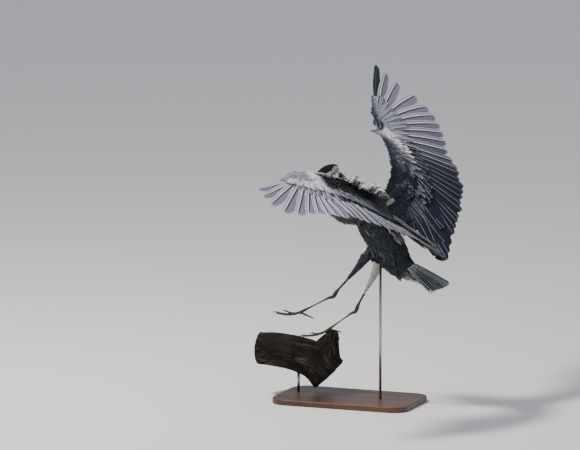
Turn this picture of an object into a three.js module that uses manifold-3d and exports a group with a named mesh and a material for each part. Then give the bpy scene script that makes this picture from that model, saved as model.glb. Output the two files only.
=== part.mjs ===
// A grey heron at the moment it alights on a dead branch, wings raised to brake, life size, on a
// display stand. Millimetres, +Z up. The bird heads along -X, and the origin is the middle of the
// underside of the stand's base.
import * as THREE from 'three';
import { mergeVertices } from 'three/addons/utils/BufferGeometryUtils.js';
import Module from 'manifold-3d';

const wasm = await Module();
wasm.setup();

// ---- driving dimensions (mm and degrees) ----
const GAP = 0.35;                 // left between two pieces that meet
const FINE = 0.1;                 // joined and cut solids lose edges finer than this
const SHOULDERS = [120, 0, 720];  // midpoint between the shoulder joints, above the base's middle
const PITCH = 46;                 // the trunk's axis above the horizontal
const SHOULDER_HALF = 45;         // shoulder joint, out from the midline
const BONES = { humerus: 175, forearm: 200, hand: 140 };
const WRIST = [170, 249];         // forward and outward of the shoulder, in the wing's own plane
const ARCH = { rise: 112, crest: 461 };  // the open wing curves down towards its tip
const PRIMARIES = 10;
const SECONDARIES = 14;
const TERTIALS = 4;
const INNERMOST = { way: 112, length: 312 };  // direction and length of the innermost tertial
const FEATHER_THICK = 2.4;
const GREAT_COVERTS = { arm: 112, hand: 104, tip: 88 };  // how far they cover the long feathers
const ALULA = 108;
// each wing's turns at the shoulder; the direction of its hand, how far the hand bends down and how
// much its outer primaries curl; directions and lengths of its primaries by number; directions and
// lengths of its first and last secondary; its alula's direction and dip; how high its small
// coverts stand up. Directions are in degrees behind straight outward.
const LEFT = {
  mark: 'l', side: 1, sweep: 1.6, raise: -4.4, twist: 14.5, hand: -35, droop: 30, curl: -60,
  turns: [[1, 38.3], [4, 27], [7, 10.5], [8, 2.5], [10, -9.5]],
  quills: [[1, 282], [3, 268], [5, 274], [7, 320], [8, 312], [10, 262]],
  fan: [47, 98], reach: [258, 220], alula: -55, dip: 30, ruffle: 38,
};
const RIGHT = {
  mark: 'r', side: -1, sweep: -5, raise: 7.2, twist: 11.4, hand: -37, droop: 0, curl: 45,
  turns: [[1, 46.5], [4, 22.7], [7, 0.6], [8, -11.5], [10, -24.8]],
  quills: [[1, 270], [3, 295], [5, 336], [7, 350], [8, 340], [10, 346]],
  fan: [56, 117], reach: [280, 277], alula: -46, dip: 26, ruffle: 19,
};
const HEAD = { at: [220, 0, 113], down: 29, back: 54, front: 42 };
const BILL = { length: 121, wide: 10, deep: 11.2, gape: 14 };
const EYE = { forward: 22, up: 4, out: 13.2, radius: 6.8 };
const TAIL = { back: 230, down: 51, lift: 14, spread: 19, root: 45, length: 146, feathers: 12 };
const SCAPULARS = { feathers: 4, root: 12, tips: [288, 226], out: 46, rise: 0.25, thick: 40 };
const TOE = { middle: 88, side: 72, hind: 42, claw: 19 };
const BASE = { length: 520, width: 300, thick: 20, corner: 60, bevel: 3 };
const ROD = 10;

// ---- small makers of shapes ----
const rad = THREE.MathUtils.degToRad;
const at = (x, y, z) => new THREE.Vector3(x, y, z);
const blend = THREE.MathUtils.lerp;

// a smooth run of values through [place, value] pairs
function profile(...knots) {
  const run = new THREE.CubicInterpolant(knots.map((k) => k[0]), knots.map((k) => k[1]), 1);
  return (t) => run.evaluate(t)[0];
}

// one closed mesh, points merged, empty triangles dropped, faces turned outward
function closed(geometry) {
  geometry.deleteAttribute('normal');
  geometry.deleteAttribute('uv');
  const merged = mergeVertices(geometry, 1e-3);
  const index = Array.from(merged.index.array);
  const place = merged.attributes.position;
  const kept = [];
  let volume = 0;
  for (let i = 0; i < index.length; i += 3) {
    const [a, b, c] = index.slice(i, i + 3);
    if (a === b || b === c || c === a) continue;
    kept.push(a, b, c);
    const [p, q, r] = [a, b, c].map((k) => at(0, 0, 0).fromBufferAttribute(place, k));
    volume += p.dot(q.cross(r));
  }
  if (volume < 0) {
    for (let i = 0; i < kept.length; i += 3) [kept[i], kept[i + 1]] = [kept[i + 1], kept[i]];
  }
  merged.setIndex(kept);
  return merged;
}

// a body whose round section changes along a curve, or a part of one, its side axis kept level
function limb(path, wide, deep, sides, steps, grow = 0, from = 0, to = 1) {
  const shape = new THREE.CylinderGeometry(1, 1, 1, sides, steps);
  const place = shape.attributes.position;
  for (let i = 0; i < place.count; i++) {
    const share = THREE.MathUtils.clamp(0.5 - place.getY(i), 0, 1);
    const t = blend(from, to, share);
    const along = path.getTangentAt(t);
    const side = at(0, 1, 0).addScaledVector(along, -along.y).normalize();
    const up = along.clone().cross(side);
    const end = share < 1e-6 ? -grow : share > 1 - 1e-6 ? grow : 0;
    const point = path.getPointAt(t).addScaledVector(along, end);
    point.addScaledVector(side, place.getX(i) * (wide(t) + grow));
    point.addScaledVector(up, place.getZ(i) * (deep(t) + grow));
    place.setXYZ(i, point.x, point.y, point.z);
  }
  return closed(shape);
}

// a thin body laid out by place(u, v, face), with u and v from 0 to 1 and face -1 or 1
function plate(place, across, along) {
  const shape = new THREE.BoxGeometry(1, 1, 1, across, along, 1);
  const points = shape.attributes.position;
  for (let i = 0; i < points.count; i++) {
    const spot = place(points.getX(i) + 0.5, points.getY(i) + 0.5, Math.sign(points.getZ(i)));
    points.setXYZ(i, spot.x, spot.y, spot.z);
  }
  return closed(shape);
}

function solid(geometry) {
  const vertProperties = new Float32Array(geometry.attributes.position.array);
  const triVerts = new Uint32Array(geometry.index.array);
  return new wasm.Manifold(new wasm.Mesh({ numProp: 3, vertProperties, triVerts }));
}

// the largest piece of a solid, as a geometry
function geometryOf(body) {
  const pieces = body.simplify(FINE).decompose().sort((a, b) => b.volume() - a.volume());
  const mesh = pieces[0].getMesh();
  const geometry = new THREE.BufferGeometry();
  geometry.setAttribute('position', new THREE.BufferAttribute(new Float32Array(mesh.vertProperties), 3));
  geometry.setIndex(Array.from(mesh.triVerts));
  return closed(geometry);
}

function cut(geometry, ...tools) {
  let body = solid(geometry);
  for (const tool of tools) body = body.subtract(solid(tool));
  return geometryOf(body);
}

function join(...geometries) {
  let body = solid(geometries[0]);
  for (const next of geometries.slice(1)) body = body.add(solid(next));
  return geometryOf(body);
}

const curve = (...points) => new THREE.CatmullRomCurve3(points, false, 'centripetal');

// ---- the bird's own frame: x forward, y to its left, z up, from between the shoulders ----
const forward = at(Math.cos(rad(PITCH)), 0, Math.sin(rad(PITCH)));
const dorsal = at(-Math.sin(rad(PITCH)), 0, Math.cos(rad(PITCH)));

function onTrunk(back, left, down) {
  return at(0, left, 0).addScaledVector(forward, -back).addScaledVector(dorsal, -down);
}

// trunk: a deep keel in front, tapering to the rump
const trunkPath = curve(onTrunk(-58, 0, 66), onTrunk(-20, 0, 62), onTrunk(50, 0, 68), onTrunk(120, 0, 79),
  onTrunk(185, 0, 86), onTrunk(245, 0, 77), onTrunk(300, 0, 61));
const trunkWide = profile([0, 25], [0.05, 38], [0.16, 51], [0.32, 57], [0.55, 57], [0.72, 49], [0.87, 38],
  [1, 22]);
const trunkDeep = profile([0, 30], [0.05, 45], [0.16, 60], [0.32, 67], [0.55, 64], [0.72, 49], [0.87, 32],
  [1, 11]);
const trunkSolid = (grow) => limb(trunkPath, trunkWide, trunkDeep, 16, 15, grow);

// neck: folded in an S, in three lengths that meet at flat joints
const neckPath = curve(at(42, 0, -22), at(105, 0, -41), at(150, 0, -40), at(192, 0, -18), at(224, 0, 14),
  at(231, 0, 44), at(210, 0, 64), at(178, 0, 68), at(154, 0, 84), at(160, 0, 106), at(188, 0, 124));
const neckWide = profile([0, 40], [0.15, 33], [0.3, 26], [0.5, 20], [0.75, 16], [1, 15]);
const neckDeep = profile([0, 40], [0.15, 33], [0.3, 27], [0.5, 22], [0.7, 16.5], [1, 16]);
const NECK_PARTS = { lower: [0, 0.37, 10], bend: [0.37, 0.7, 10], upper: [0.7, 1, 9] };

function neckLength([from, to, steps], grow = 0) {
  const half = GAP / 2 / neckPath.getLength();
  const ends = [from > 0 ? from + half : from, to < 1 ? to - half : to];
  return limb(neckPath, neckWide, neckDeep, 12, steps, grow, ...ends);
}

// head: long and narrow, tilted down along the bill
const headAlong = at(Math.cos(rad(HEAD.down)), 0, -Math.sin(rad(HEAD.down)));
const headUp = at(Math.sin(rad(HEAD.down)), 0, Math.cos(rad(HEAD.down)));

function onHead(ahead, left, up) {
  return at(...HEAD.at).addScaledVector(headAlong, ahead).addScaledVector(headUp, up).add(at(0, left, 0));
}

const headPath = curve(onHead(-HEAD.back, 0, 0), onHead(-20, 0, 2), onHead(10, 0, 1),
  onHead(HEAD.front, 0, -3));
const headWide = profile([0, 8], [0.1, 14], [0.3, 18.5], [0.55, 18], [0.8, 13.5], [1, 9.5]);
const headDeep = profile([0, 8], [0.1, 15], [0.3, 21], [0.55, 20.5], [0.8, 16], [1, 12.5]);
const headSolid = (grow) => limb(headPath, headWide, headDeep, 14, 11, grow);

// bill: two mandibles closed on each other, a straight dagger
const billPath = new THREE.LineCurve3(onHead(HEAD.front - BILL.gape, 0, -3),
  onHead(HEAD.front + BILL.length, 0, -7));
const billWide = profile([0, BILL.wide], [0.15, BILL.wide - 1], [0.5, 6.3], [0.85, 2.4], [1, 0.7]);
const billDeep = profile([0, BILL.deep], [0.15, BILL.deep], [0.5, 7.6], [0.85, 2.8], [1, 0.8]);
const billSolid = (grow) => limb(billPath, billWide, billDeep, 12, 8, grow);

function mandible(upper) {
  const height = 60;
  const slab = new THREE.BoxGeometry(2 * BILL.length, 80, height);
  slab.translate(BILL.length / 2, 0, (upper ? -1 : 1) * height / 2 + (upper ? 1 : -1) * GAP / 2);
  slab.rotateY(rad(HEAD.down) + Math.atan2(4, BILL.length + BILL.gape));
  const middle = billPath.getPointAt(0.1);
  slab.translate(middle.x, middle.y, middle.z);
  return cut(billSolid(0), closed(slab), headSolid(GAP));
}

function eyeball(side, grow = 0) {
  const ball = new THREE.SphereGeometry(EYE.radius + grow, 9, 6);
  const middle = onHead(EYE.forward, side * (EYE.out - EYE.radius / 2), EYE.up);
  ball.translate(middle.x, middle.y, middle.z);
  return closed(ball);
}

// ---- wings: laid out flat in the wing's plane, then bent over the arch ----
const shoulderToWrist = Math.hypot(...WRIST);
const elbow = (() => {
  const [p, q] = WRIST.map((w) => w / shoulderToWrist);
  const along = (BONES.humerus ** 2 - BONES.forearm ** 2 + shoulderToWrist ** 2) / (2 * shoulderToWrist);
  const off = Math.sqrt(BONES.humerus ** 2 - along ** 2);
  return [p * along - q * off, q * along + p * off];
})();
const heading = (degrees) => [-Math.sin(rad(degrees)), Math.cos(rad(degrees))];
const step = ([p, q], [dp, dq], distance) => [p + dp * distance, q + dq * distance];

// a point of the flat layout raised by up from the arched sheet, which bends down along the hand
function arched(wing, [p, q], up) {
  const off = (q - ARCH.crest) / ARCH.crest;
  const slope = (-2 * ARCH.rise * off) / ARCH.crest;
  const lean = Math.hypot(1, slope);
  const { smoothstep } = THREE.MathUtils;
  const droop = wing.droop * smoothstep(p, -20, 130) * smoothstep(q, 230, 385);
  return at(p, q - (slope / lean) * up, ARCH.rise * (1 - off * off) - droop + up / lean);
}

function primary(wing, number) {
  const root = step(WRIST, heading(wing.hand), (BONES.hand * (number - 0.5)) / (PRIMARIES - 0.5));
  const turn = profile(...wing.turns)(number);
  return { wing, number, root, way: heading(turn), length: profile(...wing.quills)(number) };
}

function secondary(wing, k) {
  const root = [0, 1].map((i) => blend(WRIST[i], elbow[i], 0.03 + 0.95 * k));
  return { root, way: heading(blend(...wing.fan, k)), length: blend(...wing.reach, k) };
}

function tertial(wing, k) {
  const root = [0, 1].map((i) => elbow[i] * (1 - 0.42 * k));
  const turn = blend(wing.fan[1], INNERMOST.way, k);
  return { root, way: heading(turn), length: blend(wing.reach[1], INNERMOST.length, k) };
}

// a point of a primary's blade, a share of its length out and off its shaft toward its outer edge
function onPrimary({ wing, number, root, way, length }, share, off) {
  const curl = wing.curl * THREE.MathUtils.smoothstep(number, 7, 10);
  const bow = curl * share * (1 - share) - 9 * share * share;
  return step(step(root, way, length * share), [way[1], -way[0]], off + bow);
}

// a primary: the outer ones are notched to slim separate fingers
function primaryBlade(feather, grow = 0) {
  const { wing, number, length } = feather;
  const finger = THREE.MathUtils.smoothstep(number, 4, 9);
  const slim = THREE.MathUtils.smoothstep(number, 7, 10);
  const outer = profile([0, 6], [0.25, 13], [0.5, blend(16, 11, finger)], [0.75, blend(17, 9, finger)],
    [0.92, blend(14, 8, finger)], [1, 6]);
  const inner = profile([0, 10], [0.25, 24], [0.5, blend(31, 21, slim)], [0.75, blend(29, 19, slim)],
    [0.92, blend(24, 11, slim)], [1, 8]);
  const rows = [0, 0.25, 0.5, 0.75, 0.92, 1];
  return plate((u, share, face) => {
    const v = rows[Math.round(share * (rows.length - 1))];
    const off = blend(-inner(v) - grow, outer(v) + grow, u);
    const tilt = 0.1 * off * THREE.MathUtils.smoothstep(v, 0.1, 0.5);
    const spot = onPrimary(feather, v * (1 + grow / length), off);
    return arched(wing, spot, tilt + face * (FEATHER_THICK / 2 + grow));
  }, 1, rows.length - 1);
}

// secondaries and tertials: one fan with a notch between each two tips
function innerFan(wing, grow = 0) {
  const count = SECONDARIES + TERTIALS;
  const columns = 2 * (count - 1);
  return plate((u, v, face) => {
    const k = (u * columns) / 2;
    const tip = Math.round(u * columns) % 2 === 0;
    const among = Math.min(k / (SECONDARIES - 1), 1);
    const beyond = Math.max((k - SECONDARIES + 1) / TERTIALS, 0);
    const { root, way, length } = beyond > 0 ? tertial(wing, beyond) : secondary(wing, among);
    const aside = u < 1e-6 ? grow : u > 1 - 1e-6 ? -grow : 0;
    const edge = step(root, [way[1], -way[0]], aside);
    const spot = step(edge, way, blend(16, length - (tip ? 0 : 13) + grow, v));
    return arched(wing, spot, (tip ? 0.6 : -0.6) + face * (FEATHER_THICK / 2 + grow));
  }, columns, 2);
}

// the fleshy arm with all its coverts, from the leading edge back to the tips of the great coverts
function covertsEdge(wing) {
  const great = [0.95, 0.6, 0.25].map((k) => secondary(wing, k))
    .map((f) => step(f.root, f.way, GREAT_COVERTS.arm));
  const hand = [1, 4, 7].map((n) => primary(wing, n)).map((f) => step(f.root, f.way, GREAT_COVERTS.hand));
  const outermost = primary(wing, PRIMARIES);
  const tip = onPrimary(outermost, GREAT_COVERTS.tip / outermost.length, -17);
  return curve(...[[-112, -30], [-142, 25], [-140, 80], ...great, ...hand, tip].map(([p, q]) => at(p, q, 0)));
}

// square to an edge of the flat layout, pointing backward
function edgeNormal(edge, v) {
  const { x, y } = edge.getTangent(v);
  return at(-y, x, 0);
}

function armSolid(wing, grow = 0) {
  const handWay = heading(wing.hand);
  const outermost = primary(wing, PRIMARIES);
  const front = curve(...[[26, -30], [30, 30], [38, 70], [64, 130], [120, 200], [180, 257],
    step([186, 255], handWay, 45), step([184, 255], handWay, 95), onPrimary(outermost, 0.02, 14),
    onPrimary(outermost, GREAT_COVERTS.tip / outermost.length, 15)].map(([p, q]) => at(p, q, 0)));
  const rear = covertsEdge(wing);
  const bulk = profile([0, 1.9], [0.2, 1.5], [0.45, 1], [0.7, 0.8], [0.9, 0.5], [1, 0.36]);
  const chord = profile([0, 5], [0.1, 13], [0.25, 17], [0.5, 12], [1, 6]);
  const loft = profile([0, 0.7], [0.15, 1], [0.4, 0.55], [0.7, 0.08], [1, 0]);
  const ruffled = profile([0, 0.7], [0.12, 1], [0.4, 1], [0.65, 0.3], [1, 0]);
  const chords = [0, 0.09, 0.25, 0.5, 0.78, 1];
  return plate((u, v, face) => {
    const c = chords[Math.round(u * (chords.length - 1))];
    const lead = front.getPoint(v).addScaledVector(edgeNormal(front, v), -grow);
    const trail = rear.getPoint(v).addScaledVector(edgeNormal(rear, v), grow);
    const lengthwise = v < 1e-6 ? -grow : v > 1 - 1e-6 ? grow : 0;
    const spot = lead.lerp(trail, c).add(at(0, lengthwise, 0));
    const thick = Math.max(chord(c) * bulk(v), 7) + 2 * grow;
    const drop = 2 * (1 - c) ** 2;
    const top = 3.6 + wing.ruffle * loft(c) * ruffled(v) + grow - drop;
    return arched(wing, [spot.x, spot.y], face > 0 ? top : top - thick);
  }, chords.length - 1, 14);
}

function alulaBlade(wing) {
  const root = step([183, 256], heading(wing.hand), 26);
  const way = heading(wing.alula);
  const outward = [way[1], -way[0]];
  const half = profile([0, 10], [0.3, 13], [0.75, 10], [1, 3]);
  return plate((u, v, face) => {
    const spot = step(step(root, way, ALULA * v), outward, blend(-half(v), half(v), u) - 6 * v);
    return arched(wing, spot, 9 - wing.dip * v * v + (face * 3) / 2);
  }, 1, 5);
}

// from the wing's own frame to the bird's
function placedWing(wing, geometry) {
  const group = new THREE.Group();
  const { side, raise, twist, sweep } = wing;
  group.rotation.set(side * rad(raise), rad(twist - PITCH), side * rad(sweep), 'YXZ');
  group.position.set(0, wing.side * SHOULDER_HALF, 0);
  group.updateMatrix();
  const placed = geometry.clone();
  if (wing.side < 0) placed.scale(1, -1, 1);
  placed.applyMatrix4(group.matrix);
  return closed(placed);
}

// ---- legs: thigh feathered to below its middle, then bare scaled skin ----
const LEGS = [
  { mark: 'l', side: 1, knee: at(28, 38, -165), heel: at(169, 41, -327), foot: at(294, 46, -395) },
  { mark: 'r', side: -1, knee: at(12, -38, -202), heel: at(113, -38, -391), foot: at(224, -36, -473) },
];
const FEATHERED = 0.68;           // share of the shin that the thigh's feathers cover

function thigh(leg) {
  const end = leg.knee.clone().lerp(leg.heel, FEATHERED);
  const hip = onTrunk(140, leg.side * 26, 84);
  const path = curve(hip, leg.knee.clone().lerp(hip, 0.45), leg.knee, leg.knee.clone().lerp(end, 0.5), end);
  const half = profile([0, 20], [0.25, 23], [0.42, 20], [0.7, 12], [0.9, 7.5], [1, 5.2]);
  const wide = (t) => 0.82 * half(t);
  return cut(limb(path, wide, half, 12, 10), trunkSolid(GAP));
}

// bare shin, heel joint and the long scaled shank in one
function shank(leg, grow = 0) {
  const start = leg.knee.clone().lerp(leg.heel, FEATHERED + 0.003);
  const path = curve(start, leg.heel.clone().lerp(start, 0.3), leg.heel.clone().add(at(-1, 0, -3)),
    leg.heel.clone().lerp(leg.foot, 0.12), leg.heel.clone().lerp(leg.foot, 0.5), leg.foot);
  const deep = profile([0, 4.4], [0.18, 4.6], [0.28, 7.6], [0.36, 6.6], [0.45, 4.4], [0.85, 4], [0.95, 5.4],
    [1, 4.6]);
  const wide = profile([0, 4], [0.18, 4.2], [0.28, 6], [0.36, 5.6], [0.45, 3.7], [0.85, 3.6], [0.95, 5.6],
    [1, 4.8]);
  return limb(path, wide, deep, 8, 14, grow);
}

// ---- the perch: a short cut length of a thick dead branch that turns down past a broken stub ----
const PERCH_Y = -38;
const perchPath = curve(at(484, PERCH_Y, -553), at(400, PERCH_Y, -555), at(322, PERCH_Y, -567),
  at(256, PERCH_Y, -592), at(214, PERCH_Y, -632));
const perchWide = profile([0, 56], [0.4, 60], [0.75, 64], [1, 64]);
const perchDeep = profile([0, 60], [0.3, 64], [0.5, 66], [0.75, 70], [1, 74]);
const stubPath = curve(at(232, PERCH_Y, -572), at(214, PERCH_Y, -518), at(199, PERCH_Y, -492),
  at(194, PERCH_Y, -474));
const stubWide = profile([0, 50], [0.6, 31], [1, 15]);
const stubDeep = profile([0, 66], [0.6, 40], [1, 17]);

function perchSolid(grow = 0) {
  const branch = limb(perchPath, perchWide, perchDeep, 14, 8, grow);
  return join(branch, limb(stubPath, stubWide, stubDeep, 10, 4, grow));
}

// toes: three in front and one behind, tapering lengths of scaled skin that end in claws
const TURNS = [[-24, TOE.side], [1, TOE.middle], [27, TOE.side], [172, TOE.hind]];

// how far a toe hangs below its joint: the left foot hangs free, the right lies over the stub
function toeDrop(leg, s, hind) {
  if (leg.side > 0) return hind ? -26 * s : -5 * s - 7 * Math.sin(Math.PI * s);
  return hind ? 9 * Math.sin(0.9 * Math.PI * s) : -22 * s - 6 * Math.sin(Math.PI * s);
}

function toesOf(leg) {
  return TURNS.map(([turn, length]) => {
    const way = at(Math.cos(rad(turn)), leg.side * Math.sin(rad(turn)), 0);
    const onToe = (s) => leg.foot.clone().addScaledVector(way, s * length)
      .add(at(0, 0, toeDrop(leg, s, turn > 90) * (length / TOE.middle)));
    return { way, onToe };
  });
}

function foot(leg) {
  const radius = profile([0, 5.2], [0.2, 4.4], [0.5, 4], [1, 3]);
  const paths = toesOf(leg).map(({ onToe }) => curve(...[0, 0.3, 0.65, 1].map(onToe)));
  const toes = paths.map((path) => limb(path, radius, radius, 6, 4));
  return cut(join(...toes), shank(leg, GAP), perchSolid(GAP));
}

function claw({ way, onToe }) {
  const root = onToe(1);
  const onward = root.clone().sub(onToe(0.9)).normalize();
  const start = root.clone().addScaledVector(onward, GAP);
  const tip = start.clone().addScaledVector(onward, TOE.claw).add(at(0, 0, -5));
  const path = curve(start, start.clone().lerp(tip, 0.5).addScaledVector(way, 1).add(at(0, 0, 2)), tip);
  const radius = profile([0, 2.7], [0.6, 1.6], [1, 0.35]);
  return limb(path, radius, radius, 5, 3);
}

// ---- tail: twelve broad feathers, a little spread and lifted ----
function tailFan() {
  const root = onTrunk(TAIL.back, 0, TAIL.down);
  const along = forward.clone().multiplyScalar(-Math.cos(rad(TAIL.lift)))
    .addScaledVector(dorsal, Math.sin(rad(TAIL.lift)));
  const above = dorsal.clone().multiplyScalar(Math.cos(rad(TAIL.lift)))
    .addScaledVector(forward, Math.sin(rad(TAIL.lift)));
  const columns = 2 * TAIL.feathers;
  return plate((u, v, face) => {
    const across = 2 * u - 1;
    const tip = Math.round(u * columns) % 2 === 1;
    const length = (TAIL.length * (1 - 0.07 * across ** 2) - (tip ? 0 : 5)) * v;
    const turn = rad(TAIL.spread * across);
    const thick = blend(13, FEATHER_THICK, THREE.MathUtils.smoothstep(v, 0, 0.6));
    return root.clone().addScaledVector(along, length * Math.cos(turn))
      .add(at(0, TAIL.root * across + length * Math.sin(turn), 0))
      .addScaledVector(above, -7 * across ** 2 + (face * thick) / 2);
  }, columns, 2);
}

// ---- scapulars: loose plumes from the shoulder that stand off the back, a fan to each side ----
function scapularFan(side) {
  const { feathers, root, tips, out, rise, thick } = SCAPULARS;
  const columns = 2 * feathers;
  return plate((u, v, face) => {
    const notch = Math.round(u * columns) % 2 === 1 ? 0 : 16;
    const back = blend(root, blend(...tips, u) - notch, v);
    const left = side * blend(1, out, u) * (1 + 0.15 * v);
    const top = rise * back - 4 - 16 * u * u;
    const depth = blend(thick, FEATHER_THICK, THREE.MathUtils.smoothstep(v, 0, 0.55));
    return onTrunk(back, left, face > 0 ? -top : depth - top);
  }, columns, 3);
}

// ---- display stand: a flat base and two rods ----
function baseBoard() {
  const { length, width, corner, thick, bevel } = BASE;
  const outline = new THREE.Shape();
  const [x, y] = [length / 2 - bevel - corner, width / 2 - bevel - corner];
  outline.absarc(x, y, corner, 0, Math.PI / 2);
  outline.absarc(-x, y, corner, Math.PI / 2, Math.PI);
  outline.absarc(-x, -y, corner, Math.PI, 1.5 * Math.PI);
  outline.absarc(x, -y, corner, 1.5 * Math.PI, 2 * Math.PI);
  const board = new THREE.ExtrudeGeometry(outline, {
    depth: thick - 2 * bevel, bevelThickness: bevel, bevelSize: bevel, bevelSegments: 1, curveSegments: 3,
  });
  board.translate(0, 0, bevel);
  return closed(board);
}

// an upright rod in the bird's frame, from the base's top to a height
function rod(x, y, top) {
  const bottom = BASE.thick + GAP - SHOULDERS[2];
  const bar = new THREE.CylinderGeometry(ROD / 2, ROD / 2, top - bottom, 12);
  bar.rotateX(Math.PI / 2);
  bar.translate(x, y, (top + bottom) / 2);
  return closed(bar);
}

// ---- the whole model ----
const colours = {
  slate: 0x5b6470, grey: 0x8b8f9a, pale: 0xc9c7c2, horn: 0xb08a3c, eye: 0xd8b23a,
  skin: 0x54503f, claw: 0x2a2723, wood: 0x4b4138, stain: 0x3a2a1e, steel: 0x9a9da0,
};
const bird = new THREE.Group();
bird.position.set(...SHOULDERS);
bird.rotation.z = Math.PI;

function add(name, geometry, colour, roughness = 0.8, metalness = 0) {
  const paint = new THREE.MeshStandardMaterial({ color: colour, roughness, metalness });
  const mesh = new THREE.Mesh(geometry, paint);
  mesh.name = name;
  bird.add(mesh);
}

const trunk = trunkSolid(0);
add('trunk', trunk, colours.slate);
add('head', cut(headSolid(0), eyeball(1, GAP), eyeball(-1, GAP)), colours.pale);
add('bill_upper', mandible(true), colours.horn, 0.4);
add('bill_lower', mandible(false), colours.horn, 0.4);
for (const [mark, side] of [['l', 1], ['r', -1]]) add(`eye_${mark}`, eyeball(side), colours.eye, 0.1);
add('neck_lower', cut(neckLength(NECK_PARTS.lower), trunkSolid(GAP)), colours.pale);
add('neck_bend', neckLength(NECK_PARTS.bend), colours.pale);
add('neck_upper', cut(neckLength(NECK_PARTS.upper), headSolid(GAP)), colours.pale);
add('tail', cut(tailFan(), trunkSolid(GAP)), colours.slate);
const wingTools = [LEFT, RIGHT].flatMap((wing) => [
  placedWing(wing, armSolid(wing, GAP)), placedWing(wing, innerFan(wing, GAP)),
]);
for (const [mark, side] of [['l', 1], ['r', -1]]) {
  const tools = [trunkSolid(GAP), neckLength(NECK_PARTS.lower, GAP), ...wingTools];
  add(`scapulars_${mark}`, cut(scapularFan(side), ...tools), colours.slate);
}

for (const wing of [LEFT, RIGHT]) {
  const armTool = armSolid(wing, GAP);
  const numbers = Array.from({ length: PRIMARIES }, (_, i) => PRIMARIES - i);
  const quills = join(...numbers.map((n) => primaryBlade(primary(wing, n))));
  const nextQuills = [1, 2, 3].map((n) => primaryBlade(primary(wing, n), GAP));
  const outermost = primaryBlade(primary(wing, PRIMARIES), GAP);
  const nearBody = [trunkSolid(GAP), neckLength(NECK_PARTS.lower, GAP)];
  const pieces = {
    arm: cut(placedWing(wing, armSolid(wing)), ...nearBody),
    secondaries: cut(placedWing(wing, cut(innerFan(wing), armTool, ...nextQuills)), ...nearBody),
    primaries: placedWing(wing, cut(quills, armTool)),
    alula: placedWing(wing, cut(alulaBlade(wing), armTool, outermost)),
  };
  for (const [part, geometry] of Object.entries(pieces)) {
    add(`wing_${wing.mark}_${part}`, geometry, colours.grey);
  }
}

for (const leg of LEGS) {
  add(`thigh_${leg.mark}`, thigh(leg), colours.slate);
  add(`shank_${leg.mark}`, shank(leg), colours.skin, 0.6);
  add(`foot_${leg.mark}`, foot(leg), colours.skin, 0.6);
  toesOf(leg).forEach((toe, i) => {
    add(`claw_${leg.mark}_${i + 1}`, cut(claw(toe), perchSolid(GAP)), colours.claw, 0.4);
  });
}

add('perch', perchSolid(), colours.wood, 0.9);
add('stand_rod_body', cut(rod(2, 0, -190), trunkSolid(GAP)), colours.steel, 0.3, 1);
add('stand_rod_perch', cut(rod(332, PERCH_Y, -590), perchSolid(GAP)), colours.steel, 0.3, 1);

const group = new THREE.Group();
group.add(bird);
const stain = new THREE.MeshStandardMaterial({ color: colours.stain, roughness: 0.5 });
const board = new THREE.Mesh(baseBoard(), stain);
board.name = 'stand_base';
group.add(board);
export default group;
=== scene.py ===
import math

import bmesh
import bpy
import numpy as np
from mathutils import Matrix, Vector, noise
from mathutils.bvhtree import BVHTree


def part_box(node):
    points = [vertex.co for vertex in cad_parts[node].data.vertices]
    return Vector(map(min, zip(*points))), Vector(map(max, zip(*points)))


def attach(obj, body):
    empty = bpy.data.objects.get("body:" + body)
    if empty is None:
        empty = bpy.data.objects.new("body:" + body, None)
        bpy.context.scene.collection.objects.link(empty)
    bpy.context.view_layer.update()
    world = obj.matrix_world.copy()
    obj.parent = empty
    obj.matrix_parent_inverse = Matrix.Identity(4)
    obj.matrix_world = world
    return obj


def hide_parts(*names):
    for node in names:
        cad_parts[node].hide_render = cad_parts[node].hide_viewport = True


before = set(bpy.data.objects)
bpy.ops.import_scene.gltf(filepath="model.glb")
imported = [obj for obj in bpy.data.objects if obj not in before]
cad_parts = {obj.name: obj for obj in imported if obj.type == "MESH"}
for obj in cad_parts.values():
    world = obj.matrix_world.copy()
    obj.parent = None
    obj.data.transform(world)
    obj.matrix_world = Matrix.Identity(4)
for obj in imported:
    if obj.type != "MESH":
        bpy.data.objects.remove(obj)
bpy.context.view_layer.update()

# ---- Camera ----
# A long lens far off looks at the bird from behind its left wing, a little from above, so that
# the near wing lies almost edge-on and the far one stands open. Millimetres are turned to metres
# here and wherever a piece's points leave the bird's own frame.
MM = 0.001
SHOULDERS = np.array([120.0, 0.0, 720.0])
AZIMUTH, ELEVATION = math.radians(21), math.radians(10)
FRAME_WIDTH = 580 * 3.593 * MM          # what the picture spans at the bird
DISTANCE = 40.0
SHIFT_RIGHT, SHIFT_UP = 0.3272, 0.0633  # how far the shoulders stand from the middle of the picture
scene = bpy.context.scene
rightward = Vector((math.cos(AZIMUTH), math.sin(AZIMUTH), 0))
ahead = Vector((-math.sin(AZIMUTH) * math.cos(ELEVATION), math.cos(AZIMUTH) * math.cos(ELEVATION),
                -math.sin(ELEVATION)))
upward = rightward.cross(ahead)


def added(name, data):
    """A new object in the scene, at the origin."""
    made = bpy.data.objects.new(name, data)
    scene.collection.objects.link(made)
    return made


camera = added("camera", bpy.data.cameras.new("camera"))
camera.data.sensor_width = 36
camera.data.lens = 36 * DISTANCE / FRAME_WIDTH
camera.data.clip_end = 500
eye_point = Vector(SHOULDERS * MM) - rightward * SHIFT_RIGHT - upward * SHIFT_UP - ahead * DISTANCE
facing = Matrix((rightward, upward, -ahead)).transposed().to_4x4()
camera.matrix_world = Matrix.Translation(eye_point) @ facing
scene.camera = camera

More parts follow.
